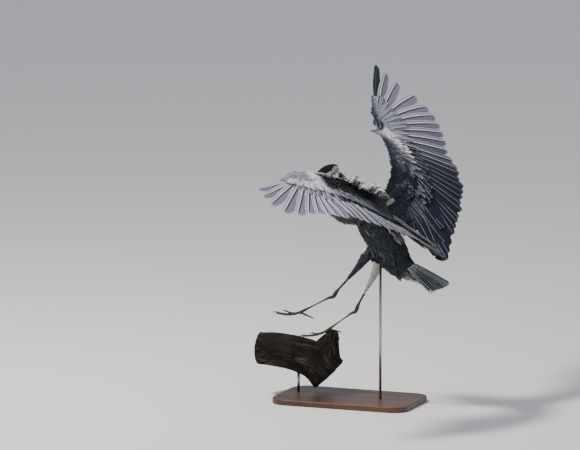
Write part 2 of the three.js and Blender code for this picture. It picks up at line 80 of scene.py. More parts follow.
# ---- Studio floor, backdrop and lamps ----
# A plain pale floor runs far back under a pale sky. A broad soft lamp high on the left lights the
# leading edges and the far wing, a weaker one fills from the camera's side.
floor_mesh = bmesh.new()
bmesh.ops.create_circle(floor_mesh, cap_ends=True, radius=120, segments=64)
floor = added("studio_floor", bpy.data.meshes.new("studio_floor"))
floor_mesh.to_mesh(floor.data)
floor_mesh.free()
floor_paint = bpy.data.materials.new("studio_floor")
floor.data.materials.append(floor_paint)
world = scene.world = bpy.data.worlds.new("studio")
for holder, node, values in (
        (floor_paint, "Principled BSDF", {"Base Color": (0.84, 0.82, 0.8, 1), "Roughness": 0.9}),
        (world, "Background", {"Color": (0.86, 0.9, 1, 1), "Strength": 0.56})):
    holder.use_nodes = True
    for socket, value in values.items():
        holder.node_tree.nodes[node].inputs[socket].default_value = value
for name, place, size, power, tint in (("key_lamp", (-2.0, -1.1, 4.2), 0.6, 235, (1, 0.96, 0.9)),
                                       ("fill_lamp", (2.5, -4.5, 2.2), 3.0, 22, (0.86, 0.93, 1))):
    lamp = added(name, bpy.data.lights.new(name, "AREA"))
    lamp.data.size, lamp.data.energy, lamp.data.color = size, power, tint
    aim = Vector(SHOULDERS * MM) - Vector(place)
    lamp.matrix_world = Matrix.Translation(place) @ aim.to_track_quat("-Z", "Y").to_matrix().to_4x4()

# ---- Lines and outlines of the body ----
# The bird is laid out in its own frame in millimetres: x ahead, y to its left, z up, from the
# midpoint between its shoulders. A line runs smoothly through a few points, and a run of widths
# through a few places, as an armature maker would note them.
def hermite(low, high, low_slope, high_slope, s):
    return (low * (1 + 2 * s) * (1 - s) ** 2 + low_slope * s * (1 - s) ** 2
            + high * (3 - 2 * s) * s ** 2 + high_slope * s ** 2 * (s - 1))


def smooth_line(points, share):
    """A curve through points at shares from 0 to 1, which count its points evenly."""
    points = np.array(points, float)
    ends = 2 * points[[0, -1]] - points[[1, -2]]
    p = np.vstack([ends[:1], points, ends[1:]])
    gaps = np.linalg.norm(np.diff(p, axis=0), axis=1) ** 0.5
    place = np.clip(np.asarray(share, float), 0, 1) * (len(points) - 1)
    i = np.minimum(place.astype(int), len(points) - 2)
    a, b, c, d = (p[i + k] for k in range(4))
    g, h, j = (gaps[i + k][..., None] for k in range(3))
    low_slope = ((b - a) / g - (c - a) / (g + h) + (c - b) / h) * h
    high_slope = ((c - b) / h - (d - b) / (h + j) + (d - c) / j) * h
    return hermite(b, c, low_slope, high_slope, (place - i)[..., None])


def profile(*knots):
    """A smooth run of values through (place, value) pairs."""
    place, value = np.array(knots, float).T
    slope = np.gradient(value, place)

    def at(t):
        t = np.clip(np.asarray(t, float), place[0], place[-1])
        i = np.clip(np.searchsorted(place, t, "right") - 1, 0, len(place) - 2)
        width = place[i + 1] - place[i]
        share = (t - place[i]) / width
        return hermite(value[i], value[i + 1], slope[i] * width, slope[i + 1] * width, share)
    return at


def ease(low, high, value):
    """0 at low, 1 at high and smooth between."""
    s = np.clip((value - low) / (high - low), 0, 1)
    return s * s * (3 - 2 * s)


def blend(low, high, share):
    return low + (high - low) * np.asarray(share, float)


def unit(vectors):
    return vectors / np.maximum(np.linalg.norm(vectors, axis=-1, keepdims=True), 1e-9)


def in_row(points):
    """Points of the bird's frame in mm as points of the row's frame in metres."""
    return (SHOULDERS + np.asarray(points) * [-1, -1, 1]) * MM


class Limb:
    """A long body of oval section along a line, walked evenly from 0 to 1; angles turn round it."""

    def __init__(self, points, wide, deep):
        self.wide, self.deep = wide, deep
        self.line = smooth_line(points, np.linspace(0, 1, 400))
        steps = np.linalg.norm(np.diff(self.line, axis=0), axis=1)
        self.length = steps.sum()
        self.share = np.concatenate([[0], np.cumsum(steps)]) / self.length

    def point(self, t):
        return np.stack([np.interp(t, self.share, self.line[:, k]) for k in range(3)], axis=-1)

    def frame(self, t):
        along = unit(self.point(np.minimum(t + 0.004, 1)) - self.point(np.maximum(t - 0.004, 0)))
        side = unit(np.array([0, 1, 0]) - along * along[..., 1:2])
        return along, side, np.cross(along, side)

    def surface(self, t, angle, inset=0.0):
        along, side, up = self.frame(t)
        wide = (self.wide(t) - inset) * np.cos(angle)
        deep = (self.deep(t) - inset) * np.sin(angle)
        return self.point(t) + side * wide[..., None] + up * deep[..., None]


PITCH = math.radians(46)                # how far the trunk is tilted up
FORWARD = np.array([math.cos(PITCH), 0, math.sin(PITCH)])
DORSAL = np.array([-math.sin(PITCH), 0, math.cos(PITCH)])
LEFTWARD = np.array([0.0, 1, 0])
HEAD_AT = np.array([220.0, 0, 113])
HEAD_DOWN = math.radians(29)
HEAD_ALONG = np.array([math.cos(HEAD_DOWN), 0, -math.sin(HEAD_DOWN)])
HEAD_UP = np.array([math.sin(HEAD_DOWN), 0, math.cos(HEAD_DOWN)])


def on_trunk(back, left, down):
    return left * LEFTWARD - back * FORWARD - down * DORSAL


def on_head(forth, left, up):
    return HEAD_AT + forth * HEAD_ALONG + left * LEFTWARD + up * HEAD_UP


trunk = Limb(
    [on_trunk(back, 0, down) for back, down in
     [(-58, 66), (-20, 62), (50, 68), (120, 79), (185, 86), (245, 77), (300, 61)]],
    profile((0, 25), (0.05, 38), (0.16, 51), (0.32, 57), (0.55, 57), (0.72, 49), (0.87, 38), (1, 22)),
    profile((0, 30), (0.05, 45), (0.16, 60), (0.32, 67), (0.55, 64), (0.72, 49), (0.87, 32), (1, 11)))
neck = Limb(
    [(x, 0, z) for x, z in [(42, -22), (105, -41), (150, -40), (192, -18), (224, 14), (231, 44),
                            (210, 64), (178, 68), (154, 84), (160, 106), (188, 124)]],
    profile((0, 40), (0.15, 33), (0.3, 26), (0.5, 20), (0.75, 16), (1, 15)),
    profile((0, 40), (0.15, 33), (0.3, 27), (0.5, 22), (0.7, 16.5), (1, 16)))
skull = Limb(
    [on_head(-54, 0, 0), on_head(-20, 0, 2), on_head(10, 0, 1), on_head(42, 0, -3)],
    profile((0, 8), (0.1, 14), (0.3, 18.5), (0.55, 18), (0.8, 13.5), (1, 9.5)),
    profile((0, 8), (0.1, 15), (0.3, 21), (0.55, 20.5), (0.8, 16), (1, 12.5)))


class Leg:
    """Joints of one leg, and the line of its feathered thigh."""

    def __init__(self, mark, side, knee, heel, foot):
        self.mark, self.side = mark, side
        self.knee, self.heel, self.foot = np.array(knee), np.array(heel), np.array(foot)
        self.bare = self.knee + 0.68 * (self.heel - self.knee)
        hip = on_trunk(140, side * 26, 84)
        half = profile((0, 20), (0.25, 23), (0.42, 20), (0.7, 12), (0.9, 7.5), (1, 5.2))
        self.thigh = Limb([hip, 0.55 * self.knee + 0.45 * hip, self.knee,
                           (self.knee + self.bare) / 2, self.bare], lambda t: 0.82 * half(t), half)


LEGS = [Leg("l", 1, (28.0, 38, -165), (169.0, 41, -327), (294.0, 46, -395)),
        Leg("r", -1, (12.0, -38, -202), (113.0, -38, -391), (224.0, -36, -473))]

# ---- Plumage: how feathers are made, painted and laid ----
# A feather is a thin closed vane with a low ridge for its shaft. Thousands of them make one piece.
# Each keeps shares of white, black and warm brown taken from its root's place on the bird, and a
# patch of its own for baked colour, at its root's place on an unwrap of the skin.
PATCH = 0.003
UNWRAP = {                      # each part's place in the unwrap: left, low, width, height
    "trunk": (0.01, 0.01, 0.46, 0.3), "neck": (0.01, 0.33, 0.46, 0.2),
    "head": (0.01, 0.55, 0.2, 0.12),
    "thigh_l": (0.23, 0.55, 0.11, 0.12), "thigh_r": (0.36, 0.55, 0.11, 0.12),
    "wing": (0.5, 0.01, 0.48, 0.46), "under": (0.5, 0.5, 0.48, 0.46),
    "back": (0.01, 0.7, 0.46, 0.28),
}


def unwrapped(part, across, along):
    """A place in the unwrap, from shares across and along a part."""
    left, low, width, height = UNWRAP[part]
    return np.stack([left + width * across, low + height * along], axis=-1)


def markings(points):
    """Shares of white, black and warm cream in the plumage at points of the bird's frame."""
    back, down, left = -(points @ FORWARD), -(points @ DORSAL), np.abs(points[:, 1])
    from_head = points - HEAD_AT
    forth, over = from_head @ HEAD_ALONG, from_head @ HEAD_UP
    on_the_head = ease(66, 54, np.linalg.norm(from_head * [1, 1, 1.1], axis=1))
    fore = ease(-35, -75, back) * (1 - on_the_head)
    below = ease(105, 138, down) * ease(-60, 10, back) * (1 - fore) * ease(42, 24, left)
    vent = ease(205, 250, back) * ease(70, 96, down)
    lores = ease(25, 29, forth) * ease(9, 5, np.abs(over + 1)) * ease(3, 6, left) * on_the_head
    thigh = ease(-148, -166, points[:, 2]) * ease(-60, -40, points[:, 0]) * ease(215, 195, back)
    pale_thigh = thigh * (points[:, 1] < 0)
    # Away from the midline the foreneck gets less white, and shaded blackens its sides further: painted
    # shade on the sides of the neck.
    midline = 0.15 + 0.85 * np.maximum(ease(17, 7, left), ease(-140, -185, back))
    white = 0.04 + 0.56 * fore * midline + 0.3 * below + 0.5 * vent
    # Both thighs are set dark and only the far right one is lifted to pale cream: the near left thigh's
    # dark is painted shade.
    white = white * (1 - thigh) + 0.06 * thigh + 0.44 * pale_thigh
    white = white * (1 - on_the_head) + 0.93 * on_the_head
    brow = 5 - 14 * ease(14, -10, forth)
    stripe = ease(4.0, 6.5, left) * ease(0, 4, over - brow) * ease(30, 18, forth) * on_the_head
    nape = ease(-34, -50, forth) * ease(-6, 4, over) * on_the_head
    throat = ease(9, 4, left) * ease(-30, -75, back) * (1 - on_the_head)
    streaks = throat * (np.sin(points[:, 0] * 0.35 + points[:, 2] * 0.31) > 0.25) * fore
    side_band = ease(0.0, 1.0, below) * ease(14, 22, left) * ease(46, 34, left) * 0.5
    shaded = 0.5 * fore * (1 - midline)
    black = np.clip(stripe + nape + 0.8 * streaks + side_band + shaded, 0, 1)
    warm = (0.15 * fore + 0.5 * vent + 0.25 * below) * (1 - thigh) + 0.4 * pale_thigh + lores
    black = black * (1 - thigh)
    return {"white": np.clip(white, 0, 1), "black": black, "warm": np.clip(warm, 0, 1)}


def add_marks(mesh, **marks):
    """Keeps a number at each point of a mesh, for its material to read."""
    for name, values in marks.items():
        mesh.attributes.new(name, "FLOAT", "POINT").data.foreach_set(
            "value", np.ascontiguousarray(values, dtype=np.float32).ravel())


def smooth(mesh):
    mesh.polygons.foreach_set("use_smooth", np.ones(len(mesh.polygons), dtype=bool))


def add_map(mesh, name, places):
    corner = np.empty(len(mesh.loops), dtype=np.int32)
    mesh.loops.foreach_get("vertex_index", corner)
    mesh.uv_layers.new(name=name).data.foreach_set("uv", places[corner].astype(np.float32).ravel())


def vanes(name, rings, across, rows, places, patch=(PATCH, PATCH), turned=False, **marks):
    """One object of many closed vanes. rings holds (vane, row, corner, xyz) in the bird's frame;
    the first and last rows are pinched to points, and corners past across 1 are the underside.
    turned swaps the sides of a mirrored set. marks are shares per vane or per vane and row."""
    count, levels, corners = rings.shape[:3]
    under = (np.arange(corners) > np.argmax(across)).astype(float)
    if turned:
        rings, across, under = rings[:, :, ::-1], across[::-1], under[::-1]
    root, tip = rings[:, :1].mean(axis=2), rings[:, -1:].mean(axis=2)
    inner = rings[:, 1:-1]
    levels -= 2
    own = np.concatenate([root, inner.reshape(count, -1, 3), tip], axis=1)
    size = own.shape[1]
    k = np.arange(corners)
    after = np.roll(k, -1)
    low = 1 + corners * np.arange(levels - 1)[:, None]
    quads = np.stack([low + k, low + after, low + corners + after, low + corners + k], axis=-1)
    quads = quads.reshape(-1, 4)
    last = 1 + corners * (levels - 1)
    ends = np.concatenate([np.stack([0 * k, 1 + after, 1 + k], axis=-1),
                           np.stack([0 * k + size - 1, last + k, last + after], axis=-1)])
    start = (size * np.arange(count))[:, None, None]
    loops = np.concatenate([(quads + start).reshape(-1), (ends + start).reshape(-1)])
    sides = np.concatenate([np.full(count * len(quads), 4), np.full(count * len(ends), 3)])
    mesh = bpy.data.meshes.new(name)
    mesh.vertices.add(count * size)
    mesh.vertices.foreach_set("co", in_row(own.reshape(-1, 3)).astype(np.float32).ravel())
    mesh.loops.add(len(loops))
    mesh.loops.foreach_set("vertex_index", loops.astype(np.int32))
    mesh.polygons.add(len(sides))
    mesh.polygons.foreach_set("loop_start", (np.cumsum(sides) - sides).astype(np.int32))
    mesh.update(calc_edges=True)
    smooth(mesh)
    along = np.concatenate([rows[:1], np.repeat(rows[1:-1], corners), rows[-1:]])
    wide = np.concatenate([[0], np.tile(across, levels), [0]])
    vane = np.broadcast_to(np.stack([0.5 + 0.5 * wide, along], axis=-1), (count, size, 2))
    add_map(mesh, "Vane", vane.reshape(-1, 2))
    add_map(mesh, "OFBake", (places[:, None] + vane * np.array(patch)).reshape(-1, 2))
    full = {"under": np.tile(np.concatenate([[0], np.tile(under, levels), [0]]), count)}
    for mark, values in marks.items():
        if np.ndim(values):
            values = np.asarray(values, float).reshape(count, -1)
        values = np.broadcast_to(values, (count, levels + 2))
        middles = np.repeat(values[:, 1:-1], corners, axis=1)
        full[mark] = np.concatenate([values[:, :1], middles, values[:, -1:]], axis=1)
    add_marks(mesh, **full)
    return added(name, mesh)


def dress(made, paint, slot, *nodes):
    """Gives a piece its material, rides it on the body and lets it stand for CAD nodes; slot is not used.
    """
    made.data.materials.clear()
    made.data.materials.append(paint)
    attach(made, "root")
    if nodes:
        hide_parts(*nodes)
    return made


def body_feathers(roots, ways, normals, lengths, widths, lift, curl, rows, outline, across, ridge):
    """Rings of small feathers that lie on the body, each bent down over its length."""
    ways = unit(ways - normals * np.sum(ways * normals, axis=1, keepdims=True))
    sides = np.cross(normals, ways)
    v = rows[None, :]
    half = 0.5 * widths[:, None] * outline[None, :]
    run = lengths[:, None] * v
    rise = lengths[:, None] * (lift[:, None] * v + curl[:, None] * v ** 2)
    centre = (roots[:, None] + ways[:, None] * run[..., None] + normals[:, None] * rise[..., None])
    a = across[None, None, :]
    height = ridge[None, None, :] * (0.12 + 0.88 * (1 - v[..., None])) * widths[:, None, None]
    height = height - 0.22 * a ** 2 * half[..., None]
    return (centre[:, :, None] + sides[:, None, None] * (a * half[..., None])[..., None]
            + normals[:, None, None] * height[..., None])


BODY_ACROSS = np.array([-1, -0.5, 0, 0.5, 1, 0])
BODY_RIDGE = np.array([0, 0.03, 0.05, 0.03, 0, -0.03])
BODY_ROWS = np.array([0, 0.1, 0.45, 0.8, 1.0])
BODY_OUTLINE = np.array([0, 0.55, 1, 0.8, 0])


class Wire:
    """One socket of a material, so that its sums read as plain arithmetic."""

    def __init__(self, tree, socket):
        self.tree, self.socket = tree, socket

    def make(self, kind, inputs=(), output=0, **settings):
        """Adds a node of a kind, with its settings, then the values or wires of its sockets."""
        node = self.tree.nodes.new("ShaderNode" + kind)
        for setting, value in settings.items():
            setattr(node, setting, value)
        for socket, value in dict(inputs).items():
            if isinstance(value, Wire):
                self.tree.links.new(value.socket, node.inputs[socket])
            else:
                node.inputs[socket].default_value = value
        return Wire(self.tree, node.outputs[output])

    def maths(self, operation, *terms):
        return self.make("Math", enumerate(terms), operation=operation)

    def __add__(self, other):
        return self.maths("ADD", self, other)

    def __sub__(self, other):
        return self.maths("SUBTRACT", self, other)

    def __rsub__(self, other):
        return self.maths("SUBTRACT", other, self)

    def __mul__(self, other):
        return self.maths("MULTIPLY", self, other)

    def __abs__(self):
        return self.maths("ABSOLUTE", self)

    __radd__, __rmul__ = __add__, __mul__

    def step(self, low, high):
        """0 up to low, 1 from high and smooth between; high may be the lower of the two."""
        if low > high:
            return 1 - self.step(high, low)
        return self.make("MapRange", {0: self, 1: low, 2: high}, interpolation_type="SMOOTHSTEP")

    def mix(self, low, high):
        """This share of the colour high over the colour low."""
        return self.make("Mix", {0: self, 6: low, 7: high}, output=2, data_type="RGBA")

    def mark(self, name):
        return self.make("Attribute", output="Fac", attribute_name=name)

    def place(self):
        return self.make("TexCoord", output="Object")

    def on_vane(self):
        """A feather's own map, how far across it from -1 to 1, and how far along it from 0 to 1."""
        vane = self.make("UVMap", uv_map="Vane")
        across, along = (self.make("SeparateXYZ", {0: vane}, output=k) for k in range(2))
        return vane, across * 2 - 1, along

    def noise(self, place, scale, detail=3.0, roughness=0.5):
        return self.make("TexNoise", {"Vector": place, "Scale": scale, "Detail": detail,
                                      "Roughness": roughness})

    def drawn(self, scale, detail=3.0, roughness=0.5, place=None):
        """Noise drawn out by a different amount each way."""
        scaled = self.make("Mapping", {"Vector": place or self.place(), "Scale": scale})
        return self.noise(scaled, 1.0, detail, roughness)

    def paint(self, base, height=None, strength=0, distance=0, roughness=None):
        """Feeds the material's shader: its colour, and its relief and roughness where they vary."""
        if height:
            height = self.make("Bump", {"Height": height, "Strength": strength, "Distance": distance})
        for socket, wire in (("Base Color", base), ("Normal", height), ("Roughness", roughness)):
            if wire:
                self.tree.links.new(wire.socket, self.tree.nodes["Principled BSDF"].inputs[socket])


def colour(code):
    """A paint's colour, from its code of six hexadecimal digits, as linear light."""
    parts = [int(code[i:i + 2], 16) / 255 for i in (0, 2, 4)]
    return (*[c / 12.92 if c <= 0.04045 else ((c + 0.055) / 1.055) ** 2.4 for c in parts], 1)


def finish(name, **constants):
    """A new material with its shader's constants set, and a wire to start its sums from."""
    made = bpy.data.materials.new(name)
    made.use_nodes = True
    shader = made.node_tree.nodes["Principled BSDF"]
    for socket, value in constants.items():
        shader.inputs[socket.replace("_", " ")].default_value = value
    return made, Wire(made.node_tree, None)


def plumage(name, slate, on_vanes=True):
    """Feathers or downy skin: slate, with white, black and warm cream by the marks, and pale tips."""
    made, wire = finish(name, Roughness=0.72, Specular_IOR_Level=0.2)
    place = wire.place()
    cloud, fine = wire.noise(place, 38.0), wire.noise(place, 240.0)
    white = wire.mark("white") + 0.16 * (cloud - 0.5) + 0.1 * wire.mark("tone")
    base = white.step(0.02, 0.98).mix(slate, colour("dfdde2"))
    base = (wire.mark("warm") * (0.6 + 0.8 * cloud)).mix(base, colour("b9ad92"))
    height = fine
    if on_vanes:
        vane, across, along = wire.on_vane()
        rim, tipward = abs(across).step(0.5, 1.0), along.step(0.55, 1.0)
        barbs = wire.noise(wire.make("Mapping", {"Vector": vane, "Scale": (22, 3, 1)}), 3.0)
        pale = wire.mark("tip") * (tipward * 0.85 + rim * along.step(0.2, 0.7) * 0.5)
        base = pale.mix(base, colour("d8d3cc"))
        base = ((1 - tipward) * 0.2 * (0.4 + barbs)).mix(base, colour("14171d"))
        height = barbs * 0.5 + fine * 0.5
    base = (wire.mark("black") * (0.9 + 0.3 * fine)).mix(base, colour("101216"))
    wire.paint(base, height, 0.3, 0.0008, 0.62 + 0.2 * cloud)
    return made


# A slate far darker than the bird's own grey: painted shade laid into the body plumage's base colour.
SHADED_SLATE = colour("1b222c")
coat_paint = plumage("body_feathers", SHADED_SLATE)

# ---- Skin ----
# One body under the feathers, from breast to rump and out along both wings and down to the bare
# part of the legs: the flesh parts swelled a little, run together and smoothed, then drawn in by
# the depth of the coat. It carries the same markings as the feathers over it.
FLESH = ["trunk", "neck_lower", "neck_bend", "neck_upper", "head", "thigh_l", "thigh_r",
         "wing_l_arm", "wing_r_arm"]
SWELL = 1.0 * MM
WELD = 0.01 * MM


def solid(*nodes):
    """A working copy of CAD nodes, with its loose triangles joined."""
    work = bmesh.new()
    for node in nodes:
        work.from_mesh(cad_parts[node].data)
    bmesh.ops.remove_doubles(work, verts=work.verts, dist=WELD)
    work.normal_update()
    return work


def run_together(made, voxel, rounds):
    """Fuses a piece's shells into one, smooths it and leaves no modifier on it."""
    fuse = made.modifiers.new("run_together", "REMESH")
    fuse.mode, fuse.voxel_size = "VOXEL", voxel
    relax = made.modifiers.new("smooth", "SMOOTH")
    relax.factor, relax.iterations = 0.5, rounds
    fused = bpy.data.meshes.new_from_object(made.evaluated_get(bpy.context.evaluated_depsgraph_get()))
    made.modifiers.clear()
    old, made.data = made.data, fused
    bpy.data.meshes.remove(old)
    smooth(fused)


def read_points(mesh, field="co"):
    values = np.empty(len(mesh.vertices) * 3)
    mesh.vertices.foreach_get(field, values)
    return values.reshape(-1, 3)


def press(mesh, places):
    """Moves a mesh's points to new places."""
    mesh.vertices.foreach_set("co", places.ravel())
    mesh.update()


def in_bird(points):
    """Points of the row's frame in metres as points of the bird's frame in mm."""
    return (np.asarray(points) / MM - SHOULDERS) * [-1, -1, 1]


flesh = solid(*FLESH)
for vertex, way in [(vertex, vertex.normal.copy()) for vertex in flesh.verts]:
    vertex.co += way * SWELL
skin = added("skin", bpy.data.meshes.new("skin"))
flesh.to_mesh(skin.data)
flesh.free()
run_together(skin, 3.2 * MM, 8)
places, outward = read_points(skin.data), read_points(skin.data, "normal")
spots = in_bird(places)
near_head = ease(70, 50, np.linalg.norm(spots - HEAD_AT, axis=1))
on_thigh = ease(-140, -165, spots[:, 2]) * ease(250, 200, -(spots @ FORWARD)) * (spots[:, 0] > -60)
depth = 6.5 - 3.5 * ease(62, 100, np.abs(spots[:, 1])) - 4.0 * near_head - 3.5 * on_thigh
press(skin.data, places - outward * (np.clip(depth, 2.0, 7)[:, None] * MM))
add_marks(skin.data, **markings(spots), tone=np.zeros(len(spots)))
dress(skin, plumage("downy_skin", SHADED_SLATE, False), "plumage_slate", *FLESH)
skin_tree = BVHTree.FromObject(skin, bpy.context.evaluated_depsgraph_get())


def on_skin(points):
    """Nearest places on the skin to points of the bird's frame, their normals and the gaps."""
    found = [skin_tree.find_nearest(Vector(p)) for p in in_row(points)]
    near = in_bird([tuple(f[0]) for f in found])
    normals = np.array([tuple(f[1]) for f in found]) * [-1, -1, 1]
    return near, normals, np.array([f[3] for f in found]) / MM

# ---- Small feathers of trunk, neck, head and thighs ----
# Rows of overlapping feathers, each row half a step round from the last, laid from the head
# backward and down the thighs. They are smallest on the face and longest on the breast and rump.
chance = np.random.default_rng(7)


def coat(name, part, limb, span, pitch, size, shape, lift, tip, onward=1, keep=None,
         slot="plumage_slate", reach=9.0):
    """Feathers over a limb. pitch is the gap between rows and between feathers, size their length
    and width, in mm; shape thins the size towards one end, and reach is how near the skin is."""
    steps = int(limb.length * (span[1] - span[0]) / pitch[0])
    laid = []
    for i in range(steps):
        t = span[0] + (span[1] - span[0]) * (i + 0.5) / steps
        around = math.pi * (limb.wide(t) + limb.deep(t))
        count = max(6, int(around / pitch[1]))
        angle = (np.arange(count) + 0.5 * (i % 2) + chance.uniform(-0.3, 0.3, count)) * 2 * math.pi / count
        t = np.clip(t + chance.uniform(-0.35, 0.35, count) * pitch[0] / limb.length, 0.001, 0.999)
        laid.append((limb.surface(t, angle), limb.frame(t)[0] * onward, angle % (2 * math.pi), t))
    roots, ways, turns, shares = (np.concatenate(values) for values in zip(*laid))
    near, normals, gaps = on_skin(roots)
    kept = gaps < reach
    if keep:
        kept &= keep(near, shares, turns)
    near, normals, ways, turns, shares = (values[kept] for values in (near, normals, ways, turns, shares))
    count = len(near)
    scale = shape(shares) * chance.uniform(0.85, 1.15, count)
    ways = unit(ways + chance.normal(0, 0.07, (count, 3)))
    rings = body_feathers(near + normals * 0.2, ways, normals, size[0] * scale, size[1] * scale,
                          lift[0] + lift[1] * chance.normal(0, 1, count), np.full(count, -0.03),
                          BODY_ROWS, BODY_OUTLINE, BODY_ACROSS, BODY_RIDGE)
    made = vanes(name, rings, BODY_ACROSS, BODY_ROWS, unwrapped(part, turns / (2 * math.pi), shares),
                 turned=True, tone=chance.normal(0, 0.4, count),
                 tip=np.clip(chance.normal(tip, 0.3 * tip, count), 0, 1), **markings(near))
    dress(made, coat_paint, slot)


def clear_of_eyes(near, shares, turns):
    """Which roots on the head lie outside the bare rings round the eyes."""
    off = near - on_head(22, 0, 4) - np.sign(near[:, 1:2]) * [0, 12.5, 0]
    return np.linalg.norm(off, axis=1) > 8.2


coat("trunk_feathers", "trunk", trunk, (0.03, 0.97), (5.6, 5.4), (30, 10),
     profile((0, 0.7), (0.2, 1), (0.8, 1.05), (1, 0.8)), lift=(0.05, 0.012), tip=0.04)
coat("neck_feathers", "neck", neck, (0.08, 0.97), (4.6, 3.2), (24, 5.0),
     profile((0, 1.4), (0.3, 1.1), (0.7, 0.8), (1, 0.65)), onward=-1, lift=(0.07, 0.02), tip=0.12,
     slot="plumage_pale")
coat("head_feathers", "head", skull, (0.02, 0.98), (2.6, 2.6), (9.5, 3.4),
     profile((0, 1.5), (0.3, 1.05), (0.7, 0.7), (1, 0.42)), onward=-1, lift=(0.05, 0.03), tip=0.1,
     slot="plumage_pale", reach=5, keep=clear_of_eyes)
for leg in LEGS:
    coat("thigh_feathers_" + leg.mark, "thigh_" + leg.mark, leg.thigh, (0.08, 0.985), (4.6, 4.0), (15, 6.5),
         profile((0, 1.5), (0.5, 1), (0.9, 0.6), (1, 0.45)), lift=(0.07, 0.01), tip=0.05, reach=7)

# ---- Wings: how their feathers are set out ----
# Each wing is set out flat from its bones, p towards its leading edge and q outward, then bent
# over an arch and turned at the shoulder. Ten primaries grow on the hand, fourteen secondaries
# along the forearm and four tertials at the elbow.
ELBOW = np.array([-15.4, 174.3])
WRIST = np.array([170.0, 249])
HAND = 140
ARCH_RISE, ARCH_CREST = 112.0, 461.0
PRIMARIES, SECONDARIES, TERTIALS = 10, 14, 4
TERTIAL_WAY, TERTIAL_LENGTH = 112, 312
SHOULDER_OUT = 45


def heading(degrees):
    """A direction of the flat layout, so many degrees behind straight outward."""
    turn = np.radians(np.asarray(degrees, float))
    return np.stack([-np.sin(turn), np.cos(turn)], axis=-1)


class Wing:
    """One wing's layout and its turn at the shoulder."""
    BULK = staticmethod(profile((0, 1.9), (0.2, 1.5), (0.45, 1), (0.7, 0.8), (0.9, 0.5), (1, 0.36)))
    CHORD = staticmethod(profile((0, 5), (0.1, 13), (0.25, 17), (0.5, 12), (1, 6)))
    LOFT = staticmethod(profile((0, 0.7), (0.15, 1), (0.4, 0.55), (0.7, 0.08), (1, 0)))
    RUFFLED = staticmethod(profile((0, 0.7), (0.12, 1), (0.4, 1), (0.65, 0.3), (1, 0)))

    def __init__(self, mark, side, turned, hand, droop, curl, turns, quills, fan, reach, alula, dip,
                 ruffle):
        self.mark, self.side, self.far = mark, side, side < 0
        self.hand, self.droop, self.curl = hand, droop, curl
        self.primary_turn, self.primary_length = profile(*turns), profile(*quills)
        self.fan, self.reach, self.alula, self.dip, self.ruffle = fan, reach, alula, dip, ruffle
        sweep, tip_up, twist = turned
        self.turn = np.eye(3)
        for axis, degrees in (("Y", twist - math.degrees(PITCH)), ("X", side * tip_up),
                              ("Z", side * sweep)):
            self.turn = self.turn @ np.array(Matrix.Rotation(math.radians(degrees), 3, axis))
        length = float(self.primary_length(PRIMARIES))
        self.front = [(26, -30), (30, 30), (38, 70), (64, 130), (120, 200), (180, 257),
                      (186, 255) + 45 * heading(hand), (184, 255) + 95 * heading(hand),
                      self.on_primary(PRIMARIES, 0.02, 14), self.on_primary(PRIMARIES, 88 / length, 15)]
        great = [root + 112 * heading(turn) for root, turn, _ in map(self.secondary, (0.95, 0.6, 0.25))]
        outer = [root + 104 * heading(turn) for root, turn, _ in map(self.primary, (1, 4, 7))]
        self.rear = [(-112, -30), (-142, 25), (-140, 80), *great, *outer,
                     self.on_primary(PRIMARIES, 88 / length, -17)]
        self.turns = [132, 126, 119, *[self.secondary(k)[1] for k in (0.95, 0.6, 0.25)],
                      *[self.primary(n)[1] for n in (1, 4, 7)], self.primary(PRIMARIES)[1] + 3]

    def primary(self, number):
        root = WRIST + heading(self.hand) * HAND * (number - 0.5) / (PRIMARIES - 0.5)
        return root, float(self.primary_turn(number)), float(self.primary_length(number))

    def on_primary(self, number, share, off):
        """A spot off a primary's shaft, a share of its length out."""
        root, turn, length = self.primary(number)
        way = heading(turn)
        bow = self.curl * ease(7, 10, number) * share * (1 - share) - 9 * share ** 2
        return root + length * share * way + (off + bow) * np.array([way[1], -way[0]])

    def secondary(self, k):
        root = blend(WRIST, ELBOW, 0.03 + 0.95 * k)
        return root, float(blend(*self.fan, k)), float(blend(*self.reach, k))

    def tertial(self, k):
        turn = float(blend(self.fan[1], TERTIAL_WAY, k))
        return ELBOW * (1 - 0.42 * k), turn, float(blend(self.reach[1], TERTIAL_LENGTH, k))

    def top(self, v, c):
        """Height of the upper coverts, and of the lower ones, above the arched sheet."""
        top = 3.6 + self.ruffle * self.LOFT(c) * self.RUFFLED(v) - 2 * (1 - c) ** 2
        return top, top - np.maximum(self.CHORD(c) * self.BULK(v), 7)

    def placed(self, spots, up):
        """Spots of the flat layout, raised from the arched sheet, in the bird's frame."""
        p, q = spots[..., 0], spots[..., 1]
        off = (q - ARCH_CREST) / ARCH_CREST
        slope = -2 * ARCH_RISE * off / ARCH_CREST
        lean = np.hypot(1, slope)
        rise = ARCH_RISE * (1 - off ** 2) - self.droop * ease(-20, 130, p) * ease(230, 385, q)
        points = np.stack([p, self.side * (q - slope / lean * up), rise + up / lean], axis=-1)
        return points @ self.turn.T + [0, self.side * SHOULDER_OUT, 0]


WINGS = [Wing("l", 1, turned=(1.6, -4.4, 14.5), hand=-35, droop=30, curl=-60,
              turns=[(1, 38.3), (4, 27), (7, 10.5), (8, 2.5), (10, -9.5)],
              quills=[(1, 282), (3, 268), (5, 274), (7, 320), (8, 312), (10, 262)],
              fan=(47, 98), reach=(258, 220), alula=-55, dip=30, ruffle=38),
         Wing("r", -1, turned=(-5, 7.2, 11.4), hand=-37, droop=0, curl=45,
              turns=[(1, 46.5), (4, 22.7), (7, 0.6), (8, -11.5), (10, -24.8)],
              quills=[(1, 270), (3, 295), (5, 336), (7, 350), (8, 340), (10, 346)],
              fan=(56, 117), reach=(280, 277), alula=-46, dip=26, ruffle=19)]


